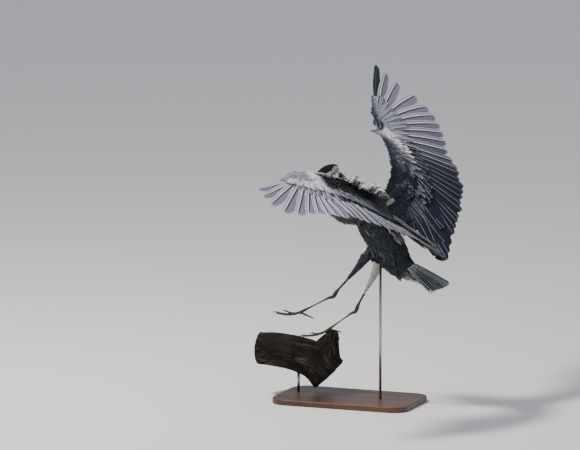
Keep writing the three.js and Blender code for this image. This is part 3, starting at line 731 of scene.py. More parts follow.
def flat_rings(roots, turns, run, outer, inner, across, face, rise, bend=0.0, bow=0.0, camber=0.05):
    """Spots and heights of vanes in the flat layout. Per vane and row, run is the way from the
    root, outer and inner the half widths, rise the shaft's height, bend how steeply it climbs and
    bow how far it swings out; across goes from inner to outer edge and face is the thickness."""
    ways = heading(turns)
    outward = np.stack([ways[:, 1], -ways[:, 0]], axis=-1)
    half = np.where(across > 0, outer[..., None], inner[..., None])
    off = across * half
    proud = face - camber * half * across ** 2
    bend, bow = (np.broadcast_to(value, run.shape)[..., None] for value in (bend, bow))
    ahead = run[..., None] - np.sin(bend) * proud
    spots = (roots[:, None, None] + ways[:, None, None] * ahead[..., None]
             + outward[:, None, None] * (off + bow)[..., None])
    return spots, rise[..., None] + np.cos(bend) * proud, off

# ---- Flight feathers ----
# Long stiff vanes with a pale shaft, a narrow outer vane and a broad inner one, each lapping over
# the inner vane of the next feather out. The outermost primaries are notched to separate fingers.
# Wear has opened small splits in their edges.
QUILL_ACROSS = np.array([-1, -0.95, -0.7, -0.4, -0.14, -0.045, 0, 0.07, 0.2, 0.5, 0.8, 0.96, 1,
                         0.9, 0.3, 0, -0.3, -0.9])
QUILL_FACE = np.array([0, 0.3, 0.35, 0.35, 0.35, 0.4, 0.9, 0.4, 0.35, 0.35, 0.35, 0.3, 0,
                       -0.3, -0.35, -0.8, -0.35, -0.3])
QUILL_ROWS = 1 - (1 - np.linspace(0, 1, 68)) ** 1.3


quill_paint, wire = finish("flight_feathers", Roughness=0.55, Specular_IOR_Level=0.25)
vane, across, along = wire.on_vane()
aside, edge, tone = abs(across), wire.mark("edge"), wire.mark("tone")
slant, seed = along * 260 - aside * 26, tone * 30
barbs = wire.noise(wire.make("CombineXYZ", {0: slant, 1: across * 1.2, 2: seed}), 1.1, 4.0, 0.7)
broad = wire.noise(wire.make("CombineXYZ", {0: slant * 0.12, 1: across, 2: seed}), 1.0)
grain = 0.16 * (barbs - 0.5) + 0.22 * (broad - 0.5)
# The tone mark lays a painted sheen of lilac over the quills' near-black.
inner = (tone + grain).step(0, 1).mix(colour("0b1020"), colour("8b8596"))
outer = (tone * 0.95 + edge * 0.05 + grain).step(0, 1).mix(colour("0d1428"), colour("a3a4b8"))
base = across.step(-0.03, 0.05).mix(inner, outer)
# The edge mark sets how strongly rim, tip and shaft take a painted glint.
for share, code in (
        (across.step(-0.28, -0.18) * across.step(-0.05, -0.08) * 0.9, "090a11"),    # painted shadow of the shaft on the inner vane
        (along.step(0.45, 0.2) * 0.45, "262a36"),                                   # painted shade towards the root, under the coverts
        ((aside + 0.1 * edge).step(0.9, 1.04) * 0.55 * edge, "e3e8f2"),             # pale rim and tip, a painted glint
        (along.step(0.955, 1.0) * 0.5 * edge, "dfe5f0"),
        (wire.mark("under") * 0.8, "4b4f5b"),                                       # plain grey below
        ((1 - aside.step(0.045, 0.09)) * (0.06 + 0.85 * edge), "fbf9f6")):          # pale shaft, most of its brightness a painted glint
    base = share.mix(base, colour(code))
wire.paint(base, barbs, 0.35, 0.0006)


def cap(rows, start, square=2.4):
    """1 up to start, then rounded off to 0 at the tip; a larger square gives a blunter tip."""
    return np.clip(1 - (np.clip(rows - start, 0, 1) / (1 - start)) ** square, 0, 1) ** (1 / square)


def worn(width, rows, splits, deepest):
    """The half widths with small splits of wear in the vane's edge."""
    for place in chance.uniform(0.3, 0.97, splits):
        width = width * (1 - chance.uniform(0.3, 1) * deepest * np.exp(-((rows - place) / 0.008) ** 2))
    return width * (1 + 0.02 * np.sin(rows * chance.uniform(30, 60) + chance.uniform(0, 6)))


def strips(count):
    """Places on the unwrap for the roots of a row of quills, and the size of each one's own patch."""
    places = (np.arange(count)[:, None] + [0.04, 0]) / [count, 1] * [1, 0.98] + [0, 0.01]
    return places, (0.92 / count, 0.98)


def quill_set(name, wing, feathers, sheens, edges, splits, dips, node=None, stack=0.12, ragged=0.2,
              base=0.0):
    """Quills of one wing as one piece. A feather is its root, turn, length, outer and inner half
    widths as profiles, where its tip starts to round, how far its tip swings in and its middle out."""
    roots, turns, lengths = (np.array([f[k] for f in feathers], float) for k in range(3))
    rows = QUILL_ROWS
    outer = np.array([worn(f[3](rows) * cap(rows, f[5], 2.0), rows, splits, ragged) for f in feathers])
    inner = np.array([worn(f[4](rows) * cap(rows, f[5] - 0.07, 2.2), rows, splits + 1, ragged * 1.4)
                      for f in feathers])
    count = len(feathers)
    rise = base - np.array(dips)[:, None] * rows ** 2 + chance.normal(0, 0.5, (count, 1)) * rows
    bow, curl = (np.array([f[k] for f in feathers])[:, None] for k in (6, 7))
    bow = bow * rows ** 2 + curl * rows * (1 - rows)
    spots, up, off = flat_rings(roots, turns, lengths[:, None] * rows, outer, inner, QUILL_ACROSS,
                                QUILL_FACE * (1.25 - 0.85 * rows)[:, None], rise, bow=bow, camber=0.06)
    up = up + off * stack * ease(0.02, 0.4, rows)[None, :, None]
    made = vanes(f"{name}_{wing.mark}", wing.placed(spots, up), QUILL_ACROSS, rows, *strips(count),
                 turned=wing.far, tone=np.array(sheens), edge=np.array(edges))
    dress(made, quill_paint, "flight_feathers", *([f"wing_{wing.mark}_{node}"] if node else []))


def primary_feather(wing, number):
    """The outer four narrow sharply beyond their middles; the others are broad and blunt."""
    finger = ease(6, 10, number)
    outer = profile((0, 4), (0.25, 10), (0.5, blend(13, 11, finger)), (0.75, blend(13, 9, finger)),
                    (1, blend(12, 9, finger)))
    inner = profile((0, 8), (0.25, 28), (0.5, blend(38, 28, finger)), (0.75, blend(38, 21, finger)),
                    (1, blend(33, 17, finger)))
    bow = wing.curl * ease(7, 10, number)
    return *wing.primary(number), outer, inner, blend(0.9, 0.92, finger), -9, bow


def inner_feather(root, turn, length, broad):
    """A secondary or tertial, broad and blunt."""
    outer = profile((0, 4), (0.3, 11 * broad), (0.8, 13 * broad), (1, 12 * broad))
    inner = profile((0, 8), (0.3, 26 * broad), (0.8, 34 * broad), (1, 30 * broad))
    turn, length = turn + chance.normal(0, 0.7), length * chance.uniform(0.975, 1.02)
    return root, turn, length, outer, inner, 0.91, -5 * broad, 0


QUILL_SHEEN = {                      # painted sheen on the quills, outermost primary first, innermost tertial last: lilac over near-black feathers
    "l": profile((0, 0.95), (9, 0.85), (13, 0.72), (17, 0.5), (20, 0.36), (27, 0.12)),
    "r": profile((0, 0.0), (1, 0.7), (2, 0.95), (5, 0.72), (8, 0.5), (11, 0.22), (14, 0.06), (17, 0.0),
                 (27, 0.0)),
}
LOOSE_TERTIALS = 16
for wing in WINGS:
    tone, far = QUILL_SHEEN[wing.mark], wing.far
    numbers = np.arange(PRIMARIES, 0, -1)
    along_arm = np.linspace(0, 1, SECONDARIES)
    quill_set("primaries", wing, [primary_feather(wing, n) for n in numbers],
              [tone(PRIMARIES - n) for n in numbers],
              [0.0 if far and n == PRIMARIES else 1 for n in numbers], 2,
              [-10 * ease(5, 10, n) for n in numbers], "primaries")

    inner_set = [inner_feather(*wing.secondary(k), 1.0) for k in along_arm] \
        + [inner_feather(*wing.tertial(k / TERTIALS), 1.15) for k in range(1, TERTIALS + 1)]
    places = np.arange(PRIMARIES, PRIMARIES + len(inner_set))
    quill_set("secondaries", wing, inner_set, [tone(n) + chance.normal(0, 0.04) for n in places],
              [0.95 - 0.85 * ease(8, 13, n) * far for n in places], 3, np.zeros(len(places)), "secondaries")

    # Loose ragged tertials lie over the innermost quills.
    tertials = [(np.array([chance.uniform(-105, -60), chance.uniform(28, 118)]), chance.uniform(96, 122),
                 chance.uniform(105, 185), profile((0, 4), (0.4, 9), (1, 10)),
                 profile((0, 5), (0.4, 15), (1, 14)), 0.86, chance.uniform(-14, 10), 0)
                for _ in range(LOOSE_TERTIALS)]
    sheens = (-0.1, 0.05) if far else (0.1, 0.5)
    quill_set("tertials", wing, tertials, chance.uniform(*sheens, LOOSE_TERTIALS),
              chance.uniform(0.05, 0.35, LOOSE_TERTIALS), 5, chance.uniform(-4, 14, LOOSE_TERTIALS),
              stack=0.05, ragged=0.5, base=9.0)

    # One great covert lies over each quill's root.
    quills = [(wing.primary(n), blend(132, 112, (n - 1) / 9), 15) for n in numbers] \
        + [(wing.secondary(k), 134, 18) for k in along_arm] \
        + [(wing.tertial(k), 126, 20) for k in (0.33, 0.66, 1)]
    greater = [(root - 10 * heading(turn), turn + chance.normal(0, 2), reach * chance.uniform(0.9, 1.08),
                profile((0, 4), (0.5, 9), (1, 8)), profile((0, 6), (0.5, wide), (1, wide - 3)), 0.84, -4, 0)
               for (root, turn, _), reach, wide in quills]
    places = np.arange(len(greater))
    # Paleness here is painted sheen on the hand's coverts; the dark navy of the arm's coverts is painted
    # shade.
    on_hand = places < 11
    if far:
        pale = 0.5 * ease(11, 9, places) * ease(-1, 2, places) + 0.05
        edges, dip = np.where(on_hand, 0.9, 0.3), -3.0
    else:
        pale = blend(-0.05, 0.82, ease(12, 9, places))
        edges, dip = np.where(on_hand, 0.35, 0.12), 4.0
    quill_set("greater_coverts", wing, greater, pale + chance.normal(0, 0.03, len(greater)), edges, 3,
              np.full(len(places), dip), ragged=0.3, base=6.5)

    # Three stiff alula feathers stand off the wrist.
    root = np.array([183.0, 256]) + 26 * heading(wing.hand)
    alula = [(root + k * np.array([2.0, -6]), wing.alula + 9 * k, 108 * (1 - 0.13 * k),
              profile((0, 7), (0.4, 15), (1, 11)), profile((0, 7), (0.4, 21), (1, 15)), 0.85, -6, 0)
             for k in range(3)]
    quill_set("alula", wing, alula, [0.0, 0.03, 0.1] if far else [0.9, 0.8, 0.8],
              [0.2, 0.3, 0.4] if far else [1, 1, 1], 1, [wing.dip * (1 - 0.12 * k) for k in range(3)],
              "alula", base=12.0 if far else 7.0)

# ---- Wing coverts ----
# Rows of shorter feathers lie on both faces of the wing, from the great coverts up to the leading
# edge, where they are smallest. The near wing's small coverts are blown up on end as the bird
# brakes.
COVERT_ACROSS = np.array([-1, -0.5, -0.04, 0.06, 0.55, 1, 0])
COVERT_FACE = np.array([0, 0.2, 0.34, 0.34, 0.2, 0, -0.25])
COVERT_ROWS = np.array([0, 0.06, 0.3, 0.55, 0.75, 0.88, 0.96, 1.0])
COVERT_OUTLINE = np.array([0.2, 0.45, 0.85, 1, 1, 0.9, 0.66, 0])
NEAR_BODY = 0.66                # the hand has room for fewer coverts in a row than the arm has
# The coverts' dark slate-blue is painted shade, darker than the wing's own grey.
covert_paint = plumage("wing_coverts", colour("27364a"))


def lay_coverts(name, wing, upper, v, c, length, width, stand, turn=None, **marks):
    """Coverts on one face of a wing. Their tips lie at v along it from the body out, and at c from
    its leading edge at 0 to the coverts' rear edge at 1; stand is how steeply each is blown up."""
    lead, trail = smooth_line(wing.front, v), smooth_line(wing.rear, v)
    chord = np.linalg.norm(trail - lead, axis=1)
    if turn is None:
        turn = np.interp(v * 9, np.arange(10), wing.turns) + chance.normal(0, 3.5, len(v)) * (1.2 - c)
    way = heading(turn)
    lean = np.sum(way * unit(trail - lead), axis=1)
    roots = lead + (trail - lead) * c[:, None] - way * length[:, None]
    s, face = COVERT_ROWS, 1 if upper else -1
    place = np.clip(c[:, None] - (1 - s) * (length * np.clip(lean, 0.2, 1) / chord)[:, None], 0, 1)
    top, bottom = wing.top(v[:, None], place)
    bend = stand[:, None] * (1.25 - 0.5 * s)
    steps = np.diff(s, prepend=0) * length[:, None]
    run, climb = np.cumsum(steps * np.cos(bend), axis=1), np.cumsum(steps * np.sin(bend), axis=1)
    rise = top - 1.2 + 1.7 * s + climb if upper else bottom + 1.2 - 1.9 * s
    half = 0.5 * width[:, None] * COVERT_OUTLINE
    spots, up, off = flat_rings(roots, turn, run, half * 0.9, half * 1.1, COVERT_ACROSS, face * COVERT_FACE,
                                rise, bend=bend, camber=0.03 * face)
    places = unwrapped("wing" if upper else "under", 0.5 * wing.far + 0.48 * v, np.clip(c, 0, 1))
    made = vanes(f"{name}_{wing.mark}", wing.placed(spots, up + off * 0.06 * face), COVERT_ACROSS,
                 COVERT_ROWS, places, turned=wing.far == upper, **marks)
    dress(made, covert_paint, "plumage_slate")


def clumps(v, c, number, reach):
    """How near each covert is to one of a few tousled places, from 0 to 1."""
    centres = chance.uniform((0.2, 0.2), (0.6, 1.0), (number, 2))
    near = np.hypot((v[:, None] - centres[:, 0]) * 2.2, c[:, None] - centres[:, 1]).min(axis=1)
    return ease(reach, 0.3 * reach, near)


def spread_rows(rows_of):
    """Places, lengths and widths of coverts in rows. A row is how far across the wing its tips
    lie, its feathers' length and width, and their number."""
    gathered = []
    for tip_at, length, width, count in rows_of:
        v = (np.arange(count) + 0.5 + chance.uniform(-0.25, 0.25, count)) / count
        c = np.clip(tip_at + chance.normal(0, 0.012, count), 0.01, 1.02)
        kept = (v < NEAR_BODY) | (chance.random(count) < 0.45)
        gathered.append(np.stack([v, c, length * chance.uniform(0.88, 1.15, count),
                                  width * chance.uniform(0.9, 1.1, count)])[:, kept])
    return np.concatenate(gathered, axis=1)


UPPER_ROWS = [(0.86, 70, 17, 44), (0.78, 56, 15.5, 50), (0.7, 46, 15, 54), (0.62, 40, 14, 58),
              (0.55, 35, 13, 64), (0.48, 31, 12, 70), (0.42, 28, 11, 76), (0.36, 26, 10.5, 80),
              (0.3, 24, 10, 84), (0.25, 22, 9.5, 88), (0.2, 20, 9, 92), (0.155, 19, 8.5, 96),
              (0.115, 18, 8, 100), (0.08, 16, 7.5, 104), (0.05, 14, 7, 104), (0.025, 12, 6.5, 104)]
UNDER_ROWS = [(0.97, 95, 26, 30), (0.8, 66, 22, 36), (0.64, 50, 19, 42), (0.5, 40, 16, 48),
              (0.37, 32, 14, 54), (0.26, 26, 12, 60), (0.17, 22, 10, 66), (0.1, 18, 9, 72),
              (0.04, 15, 8, 80)]
for wing in WINGS:
    far = wing.far
    v, c, length, width = spread_rows(UPPER_ROWS)
    count = len(v)
    at_wrist, spread, places, lift = (0.6, 0.055, 40, 0.5) if far else (0.665, 0.032, 5, 0.4)
    hand, wrist = ease(0.6, 0.69, v), np.exp(-((v - at_wrist) / spread) ** 2)
    loose = clumps(v, c, places, 0.075) * (1 - hand) * ease(0.16, 0.3, v)
    length = length * (1 - 0.35 * loose + 0.9 * hand)
    width = width * (1 - 0.25 * loose + 0.5 * hand)
    stand = 0.02 + lift * loose * chance.uniform(0, 1, count) + 0.008 * chance.normal(0, 1, count)
    if far:            # white at the wrist, the carpal patch brightened by a painted highlight; slate along the front; black towards the body, painted shade
        white = 0.04 + 0.2 * hand * ease(0.06, 0.2, c) + 1.3 * wrist
        white += 0.1 * loose * chance.uniform(0, 1.5, count)
        mottled = ease(0.36, 0.5, v) * ease(0.1, 0.25, c) * (1 - hand)
        white += 0.3 * mottled * chance.uniform(0.1, 1.1, count) - 0.05 * ease(0.4, 0.2, v)
        black = 0.7 * ease(0.45, 0.3, v) * (1 - loose) + 0.4 * ease(0.2, 0.05, c) * (1 - hand)
        warm = 0.1 * loose
    else:              # a dark band behind the petals, the black shoulder patch deepened by painted shade under them, white at the wrist and lilac on the hand
        wrist *= ease(0.9, 0.6, c)
        band, behind = ease(0.26, 0.37, v) * ease(0.65, 0.6, v), ease(0.5, 0.7, c)
        white = 0.12 + 0.27 * hand + 1.2 * wrist + 0.26 * ease(0.36, 0.24, v)
        white += 0.3 * behind * ease(0.3, 0.4, v)
        black = band * (1 - behind) * (0.8 + 0.2 * np.sin(210 * v + 37 * c)) * (1 - wrist)
        stand += band * ease(0.65, 0.35, c) * chance.uniform(0, 0.15, count)
        warm = 0.25 * ease(0.36, 0.1, v) + 0.12 * band * (1 - behind)
    lay_coverts("upper_coverts", wing, True, v, c, length, width, stand,
                white=np.clip(white + 0.04 * chance.normal(0, 1, count), 0, 1),
                black=np.clip(black, 0, 1), warm=warm,
                tip=np.clip(0.03 + 0.1 * loose + 0.1 * hand + 0.06 * chance.normal(0, 1, count), 0, 1),
                tone=chance.normal(0, 0.25, count))
    v, c, length, width = spread_rows(UNDER_ROWS)
    lay_coverts("under_coverts", wing, False, v, c, length, width, 0 * v, white=0.22, black=0.0,
                warm=0.05, tip=0.2, tone=chance.normal(0, 0.4, len(v)))

# The near wing's tousled petals stand up along its leading edge, the last one tall at the wrist.
wing, count = WINGS[0], 46
v = np.sort(chance.uniform(0.08, 0.47, count))
root, length, width = (chance.uniform(*span, count) for span in ((0.03, 0.2), (30, 50), (18, 27)))
stand, turn = chance.uniform(1.0, 1.7, count), 92 + chance.normal(0, 26, count)
v[-1], root[-1], length[-1], width[-1], stand[-1], turn[-1] = 0.54, 0.04, 44, 24, 1.7, 55
c = root + length / np.linalg.norm(smooth_line(wing.rear, v) - smooth_line(wing.front, v), axis=1)
dark_root = np.tile(0.5 - 0.5 * ease(0.02, 0.2, COVERT_ROWS), (count, 1))
lay_coverts("ruffled_coverts", wing, True, v, c, length, width, stand, turn=turn, white=1.0,
            black=dark_root, warm=0.25, tip=chance.uniform(0.6, 1, count),
            tone=chance.normal(0, 0.3, count))

# ---- Tail ----
# Twelve broad square-ended feathers, slate grey with a painted glint on their shafts and edges, slightly
# spread.
TAIL_FEATHERS = 12
TAIL_LIFT = math.radians(14)
tail_along = -FORWARD * math.cos(TAIL_LIFT) + DORSAL * math.sin(TAIL_LIFT)
tail_above = DORSAL * math.cos(TAIL_LIFT) + FORWARD * math.sin(TAIL_LIFT)
spread = np.linspace(-1, 1, TAIL_FEATHERS)
rows = QUILL_ROWS
broad = profile((0, 5), (0.3, 12), (1, 15))(rows) * cap(rows, 0.93)
half = np.array([worn(broad, rows, 2, 0.2) for _ in spread])
run = 146 * (1 - 0.07 * spread[:, None] ** 2) * rows
turns = 90 - 19 * spread + chance.normal(0, 0.6, TAIL_FEATHERS)
rise = -7 * spread[:, None] ** 2 + 4 * (1 - np.abs(spread[:, None])) + 0 * rows
spots, up, off = flat_rings(np.stack([0 * spread, 45 * spread], axis=-1), turns, run, half, half,
                            QUILL_ACROSS, QUILL_FACE * (1.3 - 0.8 * rows)[:, None], rise, camber=0.06)
up = up + off * np.sign(-spread)[:, None, None] * 0.05
rings = on_trunk(230, 0, 51) - spots[..., :1] * tail_along + spots[..., 1:] * LEFTWARD \
    + up[..., None] * tail_above
dress(vanes("tail_feathers", rings, QUILL_ACROSS, rows, *strips(TAIL_FEATHERS),
            tone=chance.uniform(-0.15, 0.0, TAIL_FEATHERS), edge=chance.uniform(0.5, 1.5, TAIL_FEATHERS)),
      quill_paint, "flight_feathers", "tail")

# ---- Tail coverts, mantle, scapular and breast plumes ----
# Loose feathers over the quills' roots: soft coverts wrap the root of the tail above and below,
# long plumes from the shoulders trail over the back, lifted by the landing, and narrow pointed
# ones hang from the foot of the neck and from the nape.
PLUME_ROWS = np.linspace(0, 1, 9)
PLUME_SHAPE = np.array([0.3, 0.75, 0.95, 1, 0.95, 0.8, 0.55, 0.28, 0])


def plumes(name, part, roots, ways, normals, length, width, lift, curl, **marks):
    """Long loose feathers, as one piece."""
    rings = body_feathers(roots, ways, normals, length, width, lift, curl, PLUME_ROWS, PLUME_SHAPE,
                          BODY_ACROSS, BODY_RIDGE * 0.7)
    across = (roots - roots.min(axis=0)) / np.ptp(roots, axis=0)
    made = vanes(name, rings, BODY_ACROSS, PLUME_ROWS, unwrapped(part, across[:, 1], across[:, 2]),
                 turned=True, tone=chance.normal(0, 0.5, len(roots)), **marks)
    return dress(made, coat_paint, "plumage_slate")


def on_body(limb, t, angle):
    """Roots on the skin at places round a limb, with its outward normals."""
    return on_skin(limb.surface(t, angle))[:2]


def strewn(way, sway, count):
    """Ways of plumes that all lie much along one way."""
    return way + sway * chance.normal(0, 1, (count, 3))


count = 120                    # short coverts round the root of the tail
t, angle = chance.uniform(0.8, 0.98, count), chance.uniform(0, 2 * math.pi, count)
lower = np.sin(angle) > 0
roots, normals = on_body(trunk, t, angle)
plumes("tail_coverts", "back", roots, strewn(tail_along, 0.06, count), normals,
       chance.uniform(48, 86, count), chance.uniform(13, 20, count), chance.uniform(0.0, 0.08, count),
       np.full(count, -0.05), white=np.where(lower, 0.85, 0.22), black=0.0,
       warm=np.where(lower, 0.55, 0.05), tip=np.where(lower, 0.5, 0.25))

count = 120                    # short mantle feathers between the shoulders
t, side = chance.uniform(0.03, 0.42, count), chance.uniform(-0.62, 0.62, count)
roots, normals = on_body(trunk, t, -math.pi / 2 + side)
plumes("mantle_feathers", "back", roots, strewn(-FORWARD, 0.08, count), normals,
       chance.uniform(45, 75, count), chance.uniform(11, 17, count), chance.uniform(0.05, 0.2, count),
       np.full(count, -0.07), white=0.34, black=0.0, warm=0.2, tip=chance.uniform(0.2, 0.6, count))

count = 190                    # scapulars: long plumes lifted off the back, ragged at their ends
side = np.where(chance.random(count) < 0.5, -1, 1)
out = chance.uniform(0, 1, count) * np.where(side > 0, 0.6, 1)
back = chance.uniform(6, 150, count)
rise = 0.25 * back - 6 - 16 * out ** 2 + chance.uniform(-4, 3, count) + 5 * (side > 0)
left = side * blend(1, 46, out) * (1 + 0.0006 * back)
roots = np.array([on_trunk(*place) for place in zip(back, left, -rise)])
ways = -FORWARD + (0.25 + 0.05 * chance.normal(0, 1, count))[:, None] * DORSAL \
    + (0.05 * side * out + 0.06 * chance.normal(0, 1, count))[:, None] * LEFTWARD
normals = DORSAL + 0.25 * FORWARD + (0.5 * side * out)[:, None] * LEFTWARD
ends = blend(292, 232, out) * chance.uniform(0.86, 1.03, count)
dark = (chance.random(count) > 0.72) | ((side > 0) & (out > 0.3))
scapulars = plumes("scapulars", "back", roots, ways, unit(normals), np.clip(ends - back, 60, 165),
                   chance.uniform(13, 24, count), chance.uniform(-0.02, 0.05, count),
                   chance.uniform(-0.1, 0.02, count), white=np.where(dark, 0.14, 0.3),
                   black=0.2 * dark, warm=0.16 * ~dark, tip=chance.uniform(0.1, 0.55, count))
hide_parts("scapulars_l", "scapulars_r")

count = 40                     # breast plumes
t, angle = chance.uniform(0.04, 0.3, count), math.pi / 2 + chance.uniform(-0.7, 0.7, count)
roots, normals = on_body(neck, t, -angle)
plumes("breast_plumes", "neck", roots, strewn(np.array([-0.8, 0, -0.6]), 0.07, count), normals,
       chance.uniform(30, 60, count), chance.uniform(4.5, 7.5, count), chance.uniform(0.0, 0.05, count),
       np.full(count, -0.12), white=0.8, black=0.6 * (chance.random(count) > 0.75), warm=0.1, tip=0.3)

count = 44                     # black nape plumes that run on from the crown's stripes, two of them long; the many short ones are painted shade on the hind neck
t, angle = chance.uniform(0.04, 0.3, count), -math.pi / 2 + chance.uniform(-1.0, 1.0, count)
roots, normals = on_body(skull, t, angle)
long = np.arange(count) < 2
plumes("nape_plumes", "head", roots, strewn(np.array([-0.8, 0, -0.42]), 0.09, count), normals,
       np.where(long, 105, chance.uniform(24, 52, count)), np.where(long, 4.6, 5.0), np.full(count, 0.05),
       np.full(count, -0.22), white=0.05, black=1.0, warm=0.0, tip=0.0)

# ---- Eyes and lids ----
# Glass eyes with a yellow iris and a round black pupil, set in the skull and rimmed by a thin
# bare lid.
EYE_RADIUS = 6.8
PUPIL, IRIS = 2.6, 5.5


def settle(work, name, paint, slot, *nodes):
    """The finished piece of a bmesh, with its normals outward and its faces smooth."""
    bmesh.ops.recalc_face_normals(work, faces=work.faces)
    made = added(name, bpy.data.meshes.new(name))
    work.to_mesh(made.data)
    work.free()
    smooth(made.data)
    return dress(made, paint, slot, *nodes)


for mark, side in (("l", 1), ("r", -1)):
    middle = on_head(22, side * 9.8, 4)
    gaze = unit(side * LEFTWARD + 0.22 * HEAD_ALONG + 0.04 * HEAD_UP)
    looking = Vector(gaze * [-1, -1, 1])
    seat = Matrix.Translation(Vector(in_row(middle))) @ looking.to_track_quat("Z", "Y").to_matrix().to_4x4()
    eye_paint, wire = finish("eye_" + mark, Roughness=0.06, Coat_Weight=1.0, Coat_Roughness=0.02)
    front = tuple(in_row(middle + gaze * EYE_RADIUS))
    off = wire.make("VectorMath", {0: wire.place(), 1: front}, output=1, operation="DISTANCE") * (1 / MM)
    base = wire.drawn((900, 900, 900)).step(0.3, 0.75).mix(colour("d9a514"), colour("f3d24a"))
    base = off.step(IRIS - 1.3, IRIS - 0.1).mix(base, colour("7a5208"))
    base = off.step(IRIS - 0.2, IRIS + 0.2).mix(base, colour("0d0b0a"))
    wire.paint(off.step(PUPIL + 0.15, PUPIL - 0.05).mix(base, colour("050505")))
    ball = bmesh.new()
    bmesh.ops.create_uvsphere(ball, u_segments=48, v_segments=32, radius=EYE_RADIUS * MM, matrix=seat)
    settle(ball, f"eye_{mark}_glass", eye_paint, "eye", "eye_" + mark)

    lid_paint, wire = finish("eyelid_" + mark, Roughness=0.6)
    pores = wire.noise(wire.place(), 1500.0)
    wire.paint(pores.mix(colour("6d6a3c"), colour("a39a55")), pores, 0.4, 0.0003)
    lid = bmesh.new()
    on_rim = Matrix.Translation((5.7 * MM, 0, 3.2 * MM)) @ Matrix.Rotation(math.pi / 2, 4, "X")
    bmesh.ops.create_circle(lid, segments=10, radius=1.15 * MM, matrix=seat @ on_rim)
    bmesh.ops.spin(lid, geom=lid.verts[:] + lid.edges[:], cent=in_row(middle), axis=looking,
                   angle=2 * math.pi, steps=40, use_merge=False)
    bmesh.ops.remove_doubles(lid, verts=lid.verts, dist=0.05 * MM)
    settle(lid, "eyelid_" + mark, lid_paint, "leg_skin")

# ---- Bill ----
# Two long horn mandibles that close on each other in a straight dagger: yellow-orange, dusky along
# the top ridge, with a slit nostril in a groove and fine growth lines.
BILL_ROOT, BILL_LENGTH = 28, 135        # along the head's own axis
NOSTRIL, GROOVE = 0.235, 0.55           # the slit's place along the bill and the groove's up its side


def loft(work, sections):
    """A closed skin through sections, each a ring of places in the bird's frame, made by
    extruding its edge from one section to the next."""
    corner = work.verts.layers.int.get("corner") or work.verts.layers.int.new("corner")
    ring = bmesh.ops.create_circle(work, cap_ends=True, segments=len(sections[0]), radius=MM)["verts"]
    for i, vertex in enumerate(ring):
        vertex[corner] = i
    edges = list({edge for vertex in ring for edge in vertex.link_edges})
    for k, section in enumerate(in_row(sections)):
        if k:
            grown = bmesh.ops.extrude_edge_only(work, edges=edges)["geom"]
            ring = [part for part in grown if isinstance(part, bmesh.types.BMVert)]
            fresh = set(ring)
            edges = [part for part in grown
                     if isinstance(part, bmesh.types.BMEdge) and set(part.verts) <= fresh]
        for vertex in ring:
            vertex.co = section[vertex[corner]]
    bmesh.ops.contextual_create(work, geom=edges)


def hump(value, middle, spread):
    return np.exp(-((value - middle) / spread) ** 2)


bill = Limb([on_head(BILL_ROOT, 0, -3), on_head(BILL_ROOT + BILL_LENGTH, 0, -7)],
            profile((0, 10), (0.15, 9), (0.5, 6.3), (0.85, 2.4), (1, 0.7)),
            profile((0, 11), (0.15, 11), (0.5, 7.6), (0.85, 2.8), (1, 0.8)))
bill_paint, wire = finish("bill_horn", Roughness=0.38, Coat_Weight=0.25, Coat_Roughness=0.3)
growth = wire.drawn((60, 900, 900), 4.0)
base = growth.mix(colour("b9852c"), colour("dba945"))
base = wire.mark("ridge").mix(base, colour("5d5030"))
base = wire.mark("tipward").mix(base, colour("c8a35a"))
base = wire.mark("nostril").mix(base, colour("1f1a12"))
wire.paint(base, growth, 0.2, 0.0004)
over = np.linspace(0, math.pi, 19)
for half, up in (("upper", 1), ("lower", -1)):
    sections = []
    for t in np.concatenate([np.linspace(0, 0.97, 58), [0.985, 0.997]]):
        point = min(1, 14 * (1.0 - t) + 0.25)
        wide, deep = bill.wide(t) * point, bill.deep(t) * point
        across = np.concatenate([np.cos(over) * wide, np.linspace(-0.8, 0.8, 6) * wide])
        height = np.concatenate([np.sin(over) ** 0.92 * deep + 0.18, np.full(6, 0.18)])
        if half == "upper":
            dent = 0.22 * hump(t, NOSTRIL, 0.035) * hump(height / deep, GROOVE, 0.14)
            dent += 0.07 * hump(height / deep, GROOVE, 0.12) * ease(0.55, 0.2, t) * ease(0.1, 0.16, t)
            across = across * (1 - dent)
        sections.append(bill.point(t) + across[:, None] * LEFTWARD + (up * height)[:, None] * HEAD_UP)
    work = bmesh.new()
    loft(work, sections)
    piece = settle(work, "mandible_" + half, bill_paint, "bill_horn", "bill_" + half)
    spots = in_bird(read_points(piece.data))
    t = ((spots - HEAD_AT) @ HEAD_ALONG - BILL_ROOT) / BILL_LENGTH
    height = (spots - bill.point(np.clip(t, 0, 1))) @ HEAD_UP / bill.deep(np.clip(t, 0, 1))
    slit = hump(t, NOSTRIL, 0.04) * hump(height, GROOVE, 0.13) * (half == "upper")
    add_marks(piece.data, ridge=ease(0.55, 0.98, height) * ease(0.98, 0.6, t) * 0.85,
              tipward=ease(0.75, 1, t) * 0.6, nostril=np.clip(slit * 1.3, 0, 1))

# ---- Legs, toes and claws ----
# Bare shins, heels, long shanks and toes in olive-grey skin, plated in front and finely scaled
# behind, with swollen joints and dark curved claws.
TOES = [(-24, 72), (1, 88), (27, 72), (172, 42)]        # each one's turn from straight ahead and length
LONGEST_TOE, HIND = 88, 90


def loft_limb(work, limb, sides, steps):
    angles = np.linspace(0, 2 * math.pi, sides + 1)[:-1]
    loft(work, [limb.surface(np.full(sides, t), angles) for t in np.linspace(0, 1, steps)])


def beside(limb, spots, stride):
    """How far along a limb each of the spots lies, and its offset from the limb's middle."""
    nearest = ((spots[:, None] - limb.line[::stride]) ** 2).sum(axis=2).argmin(axis=1)
    share = limb.share[::stride][nearest]
    return share, spots - limb.point(share)


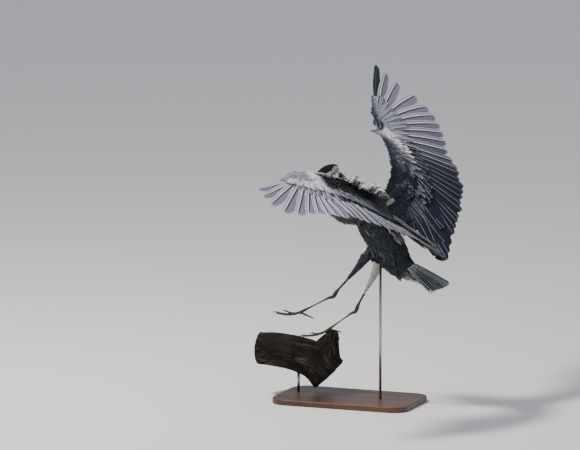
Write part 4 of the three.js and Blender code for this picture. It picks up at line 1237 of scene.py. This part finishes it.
leg_paint, wire = finish("leg_skin", Roughness=0.55, Specular_IOR_Level=0.4)
cells = wire.make("TexVoronoi", {"Vector": wire.place(), "Scale": 520.0}, feature="DISTANCE_TO_EDGE")
bands = abs(wire.maths("SINE", wire.mark("along") * 1.35))
front = wire.mark("front").step(0.05, 0.45)
height = front * bands.step(0.0, 0.45) + (1 - front) * (cells * 2.2).step(0.0, 0.4)
mottle = wire.noise(wire.place(), 160.0)
base = ((1 - height) * 0.6).mix(mottle.mix(colour("1e1a14"), colour("3c3729")), colour("100e0b"))
# The right leg is painted lighter all over, a painted highlight.
base = (wire.mark("worn") * 0.4).mix(base, colour("58503a"))
wire.paint(base, height, 0.6, 0.0006, 0.5 + 0.25 * mottle)

claw_paint, wire = finish("claw_horn", Roughness=0.35)
streaks = wire.drawn((300, 900, 900))
wire.paint(streaks.mix(colour("14110f"), colour("3c352c")), streaks, 0.25, 0.0003)

for leg in LEGS:
    start = leg.knee + 0.66 * (leg.heel - leg.knee)
    shank = Limb([start, leg.heel + 0.3 * (start - leg.heel), leg.heel + [-1, 0, -3],
                  leg.heel + 0.12 * (leg.foot - leg.heel), (leg.heel + leg.foot) / 2, leg.foot],
                 profile((0, 4), (0.18, 4.2), (0.28, 6), (0.36, 5.6), (0.45, 3.7), (0.85, 3.6),
                         (0.95, 5.6), (1, 4.8)),
                 profile((0, 4.4), (0.18, 4.6), (0.28, 7.6), (0.36, 6.6), (0.45, 4.4), (0.85, 4),
                         (0.95, 5.4), (1, 4.6)))
    toes, ways = [], []
    for turn, length in TOES:
        way = np.array([math.cos(math.radians(turn)), leg.side * math.sin(math.radians(turn)), 0])
        share = np.array([0, 0.3, 0.65, 1])
        if leg.side > 0:       # the left foot is open in the air, the right one grips the stub
            drop = -26 * share if turn > HIND else -5 * share - 7 * np.sin(math.pi * share)
        elif turn > HIND:
            drop = 9 * np.sin(0.9 * math.pi * share)
        else:
            drop = -22 * share - 6 * np.sin(math.pi * share)
        spots = leg.foot + share[:, None] * length * way
        spots[:, 2] += drop * length / LONGEST_TOE
        joints = 2 if turn > HIND else 4
        knuckled = profile((0, 5.0), (0.2, 4.3), (0.5, 3.8), (1, 2.8))
        radius = (lambda t, joints=joints: knuckled(t) * (1 + 0.13 * np.cos(2 * math.pi * joints * t)))
        toes.append(Limb(spots, radius, radius))
        ways.append(way)
    work = bmesh.new()
    loft_limb(work, shank, 14, 60)
    for toe in toes:
        loft_limb(work, toe, 14, 26)
    piece = settle(work, "bare_leg_" + leg.mark, leg_paint, "leg_skin",
                   "shank_" + leg.mark, "foot_" + leg.mark)
    run_together(piece, 0.95 * MM, 3)
    spots = in_bird(read_points(piece.data))
    gaps, along, front = [], [], []
    for limb in [shank, *toes]:
        share, off = beside(limb, spots, 4)
        gaps.append(np.linalg.norm(off, axis=1))
        along.append(share * limb.length)
        front.append(-np.sum(unit(off) * limb.frame(share)[2], axis=1))
    owner = np.argmin(gaps, axis=0), np.arange(len(spots))
    # The right leg's lighter skin is a painted highlight.
    add_marks(piece.data, along=np.array(along)[owner], front=np.array(front)[owner],
              worn=np.full(len(spots), 0.0 if leg.side > 0 else 0.7))
    work = bmesh.new()
    for toe, way in zip(toes, ways):
        onward = unit(toe.point(1.0) - toe.point(0.9))
        root = toe.point(1.0) - onward * 1.5
        tip = root + 20 * onward + [0, 0, -5]
        hook = Limb([root, (root + tip) / 2 + way + [0, 0, 2.4], tip],
                    profile((0, 2.5), (0.5, 1.7), (1, 0.3)), profile((0, 3.1), (0.5, 2.0), (1, 0.3)))
        loft_limb(work, hook, 10, 14)
    settle(work, "claws_" + leg.mark, claw_paint, "claw_horn",
           *[f"claw_{leg.mark}_{k}" for k in range(1, 5)])

# ---- Perch ----
# A cut length of a thick dead branch, long out of its bark: grey, split along the grain, sawn
# square at both ends, with a torn stub full of splinters where a limb broke off.
PERCH_Y = -38
SPLINTERS = 15
wood_paint, wire = finish("dead_wood", Roughness=0.85, Specular_IOR_Level=0.25)
fine, stain = wire.drawn((55, 420, 420), 5.0, 0.7), wire.noise(wire.place(), 14.0)
# Raised grain is paler: weathered wood, with a painted highlight on the ridges.
base = (fine * 0.6 + wire.mark("ridge") * 0.45).step(0.25, 0.85).mix(colour("0d0b09"), colour("443c33"))
base = stain.step(0.45, 0.75).mix(base, fine.mix(colour("0c0a08"), colour("2a241e")))
base = wire.mark("crack").mix(base, colour("0b0908"))
grown = wire.mark("rings") * 70 + 3 * wire.noise(wire.place(), 30.0)
cut = (abs(wire.maths("SINE", grown)) * 0.7 + fine * 0.5).mix(colour("5a4a3a"), colour("9c8a72"))
round_cut = wire.make("CombineXYZ", {0: wire.mark("angle") * 5, 1: wire.mark("rings") * 0.5, 2: 4.0})
checks = abs(wire.noise(round_cut, 1.0, 1.0) - 0.5)
cut = (1 - checks.step(0.0, 0.02)).mix(cut, colour("17120e"))
wire.paint(wire.mark("sawn").mix(base, cut), fine, 0.6, 0.0015)

branch = Limb([(x, PERCH_Y, z) for x, z in
               ((484, -553), (400, -555), (322, -567), (256, -592), (214, -632))],
              profile((0, 56), (0.4, 60), (0.75, 64), (1, 64)),
              profile((0, 60), (0.3, 64), (0.5, 66), (0.75, 70), (1, 74)))
stub = Limb([(x, PERCH_Y, z) for x, z in ((232, -572), (214, -518), (199, -492), (194, -474))],
            profile((0, 50), (0.6, 31), (1, 15)), profile((0, 66), (0.6, 40), (1, 17)))
perch = settle(solid("perch"), "perch_wood", wood_paint, "dead_wood", "perch")
run_together(perch, 2.3 * MM, 4)
places, outward = read_points(perch.data), read_points(perch.data, field="normal")
found = []
for limb in (branch, stub):
    share, off = beside(limb, in_bird(places), 8)
    way, side, up = limb.frame(share)
    x, y = np.sum(off * side, axis=1), np.sum(off * up, axis=1)
    found.append((np.hypot(x / limb.wide(share), y / limb.deep(share)), share * limb.length,
                  np.arctan2(y, x), share))
on_stub = found[1][0] < found[0][0]
radius, along, angle, share = (np.where(on_stub, b, a) for a, b in zip(*found))
way = np.where(on_stub[:, None], stub.frame(share)[0], branch.frame(share)[0]) * [-1, -1, 1]
sawn = ~on_stub & ((share < 0.004) | (share > 0.996)) & (np.abs(np.sum(outward * way, axis=1)) > 0.7)


def grain_noise(angle, along, turns, stretch, seed):
    """Smooth noise from -1 to 1 that repeats round the branch and is drawn out along it."""
    x, y = np.cos(angle) * turns, np.sin(angle) * turns
    return np.array([noise.noise((a, b, c)) for a, b, c in zip(x + seed, y, along / stretch + seed)])


sway = grain_noise(angle, along, 0.8, 90, 3.0) * 0.5
broad = grain_noise(angle + sway, along, 2.2, 130, 11.0)
cracks = 1 - np.abs(grain_noise(angle + sway * 0.7, along, 7.0, 75, 23.0)) * 2.4
fibres = grain_noise(angle + sway * 0.5, along, 22.0, 34, 37.0)
deep_crack = ease(0.72, 1.0, cracks) * ease(-0.3, 0.3, broad + 0.25)
torn = on_stub * ease(0.45, 0.9, share)
rise = np.where(sawn, 0.0, 2.4 * broad - 5.5 * deep_crack + 1.1 * fibres * (1 + 2.5 * torn))
press(perch.data, places + outward * ((rise - 0.6)[:, None] * MM))
add_marks(perch.data, crack=deep_crack * ~sawn, ridge=ease(-0.2, 0.7, broad + 0.7 * fibres) * ~sawn,
          sawn=sawn * 1.0, rings=radius, angle=angle)

work = bmesh.new()
t, angle = chance.uniform(0.7, 1.0, SPLINTERS), chance.uniform(0, 2 * math.pi, SPLINTERS)
for t, angle, long in zip(t, angle, chance.uniform(6, 13, SPLINTERS)):
    root = stub.surface(np.array([t]), np.array([angle]), 4.0)[0]
    way = unit(stub.frame(np.array([t]))[0][0] + chance.normal(0, 0.06, 3))
    spike = Limb([root - 6 * way, root + 0.5 * long * way + chance.normal(0, 0.6, 3), root + long * way],
                 profile((0, 4.4), (0.5, 3.0), (1, 0.4)), profile((0, 2.6), (0.5, 1.7), (1, 0.3)))
    loft_limb(work, spike, 6, 5)
splinters = settle(work, "splinters", wood_paint, "dead_wood").data
bare = np.zeros(len(splinters.vertices))
add_marks(splinters, crack=bare, ridge=bare + 0.9, sawn=bare, rings=bare, angle=bare)

# ---- Display stand ----
# A flat board of stained wood with rounded corners, and two brushed steel rods let into it: one
# carries the body, one the branch.
BOARD = (520, 300, 20)
ROD_RADIUS = 5
board_paint, wire = finish("stand_wood", Roughness=0.42, Coat_Weight=0.2, Coat_Roughness=0.35)
figure, pores = wire.drawn((2.2, 26, 26), 4.0, 0.6), wire.drawn((40, 900, 900), 2.0, 0.6)
base = figure.step(0.3, 0.7).mix(colour("2c1a10"), colour("5d3a22"))
base = (pores.step(0.52, 0.7) * 0.6).mix(base, colour("190e08"))
wire.paint(base, pores, 0.15, 0.0004, 0.36 + 0.2 * pores)
work = bmesh.new()
bmesh.ops.create_cube(work, size=1, matrix=Matrix.Translation((0, 0, BOARD[2] / 2 * MM))
                      @ Matrix.Diagonal([*[edge * MM for edge in BOARD], 1]))
upright = [edge for edge in work.edges
           if abs(edge.verts[0].co.z - edge.verts[1].co.z) > 0.5 * BOARD[2] * MM]
bmesh.ops.bevel(work, geom=upright, offset=60 * MM, segments=12, profile=0.5, affect="EDGES", material=-1)
rims = [edge for edge in work.edges if len(edge.link_faces) == 2
        and abs(edge.link_faces[0].normal.z - edge.link_faces[1].normal.z) > 0.5]
bmesh.ops.bevel(work, geom=rims, offset=3 * MM, segments=4, profile=0.5, affect="EDGES", material=-1)
board = settle(work, "stand_board", board_paint, "stand_wood", "stand_base")
for face in board.data.polygons:
    face.use_smooth = abs(face.normal.z) < 0.99

steel_paint, wire = finish("stand_steel", Metallic=1.0, Roughness=0.3)
brushed = wire.drawn((60, 60, 1600), 3.0)
wire.paint(brushed.mix(colour("8f9295"), colour("b9bcbe")), roughness=0.24 + 0.16 * brushed)
for name, reach in (("stand_rod_body", 8), ("stand_rod_perch", 4)):
    low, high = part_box(name)
    work = bmesh.new()
    tall = high.z - low.z + reach * MM
    middle = Vector(((low.x + high.x) / 2, (low.y + high.y) / 2, low.z + tall / 2))
    bmesh.ops.create_cone(work, cap_ends=True, segments=40, radius1=ROD_RADIUS * MM,
                          radius2=ROD_RADIUS * MM, depth=tall, matrix=Matrix.Translation(middle))
    rod = settle(work, name + "_steel", steel_paint, "stand_steel", name)
    for face in rod.data.polygons:
        face.use_smooth = abs(face.normal.z) < 0.5
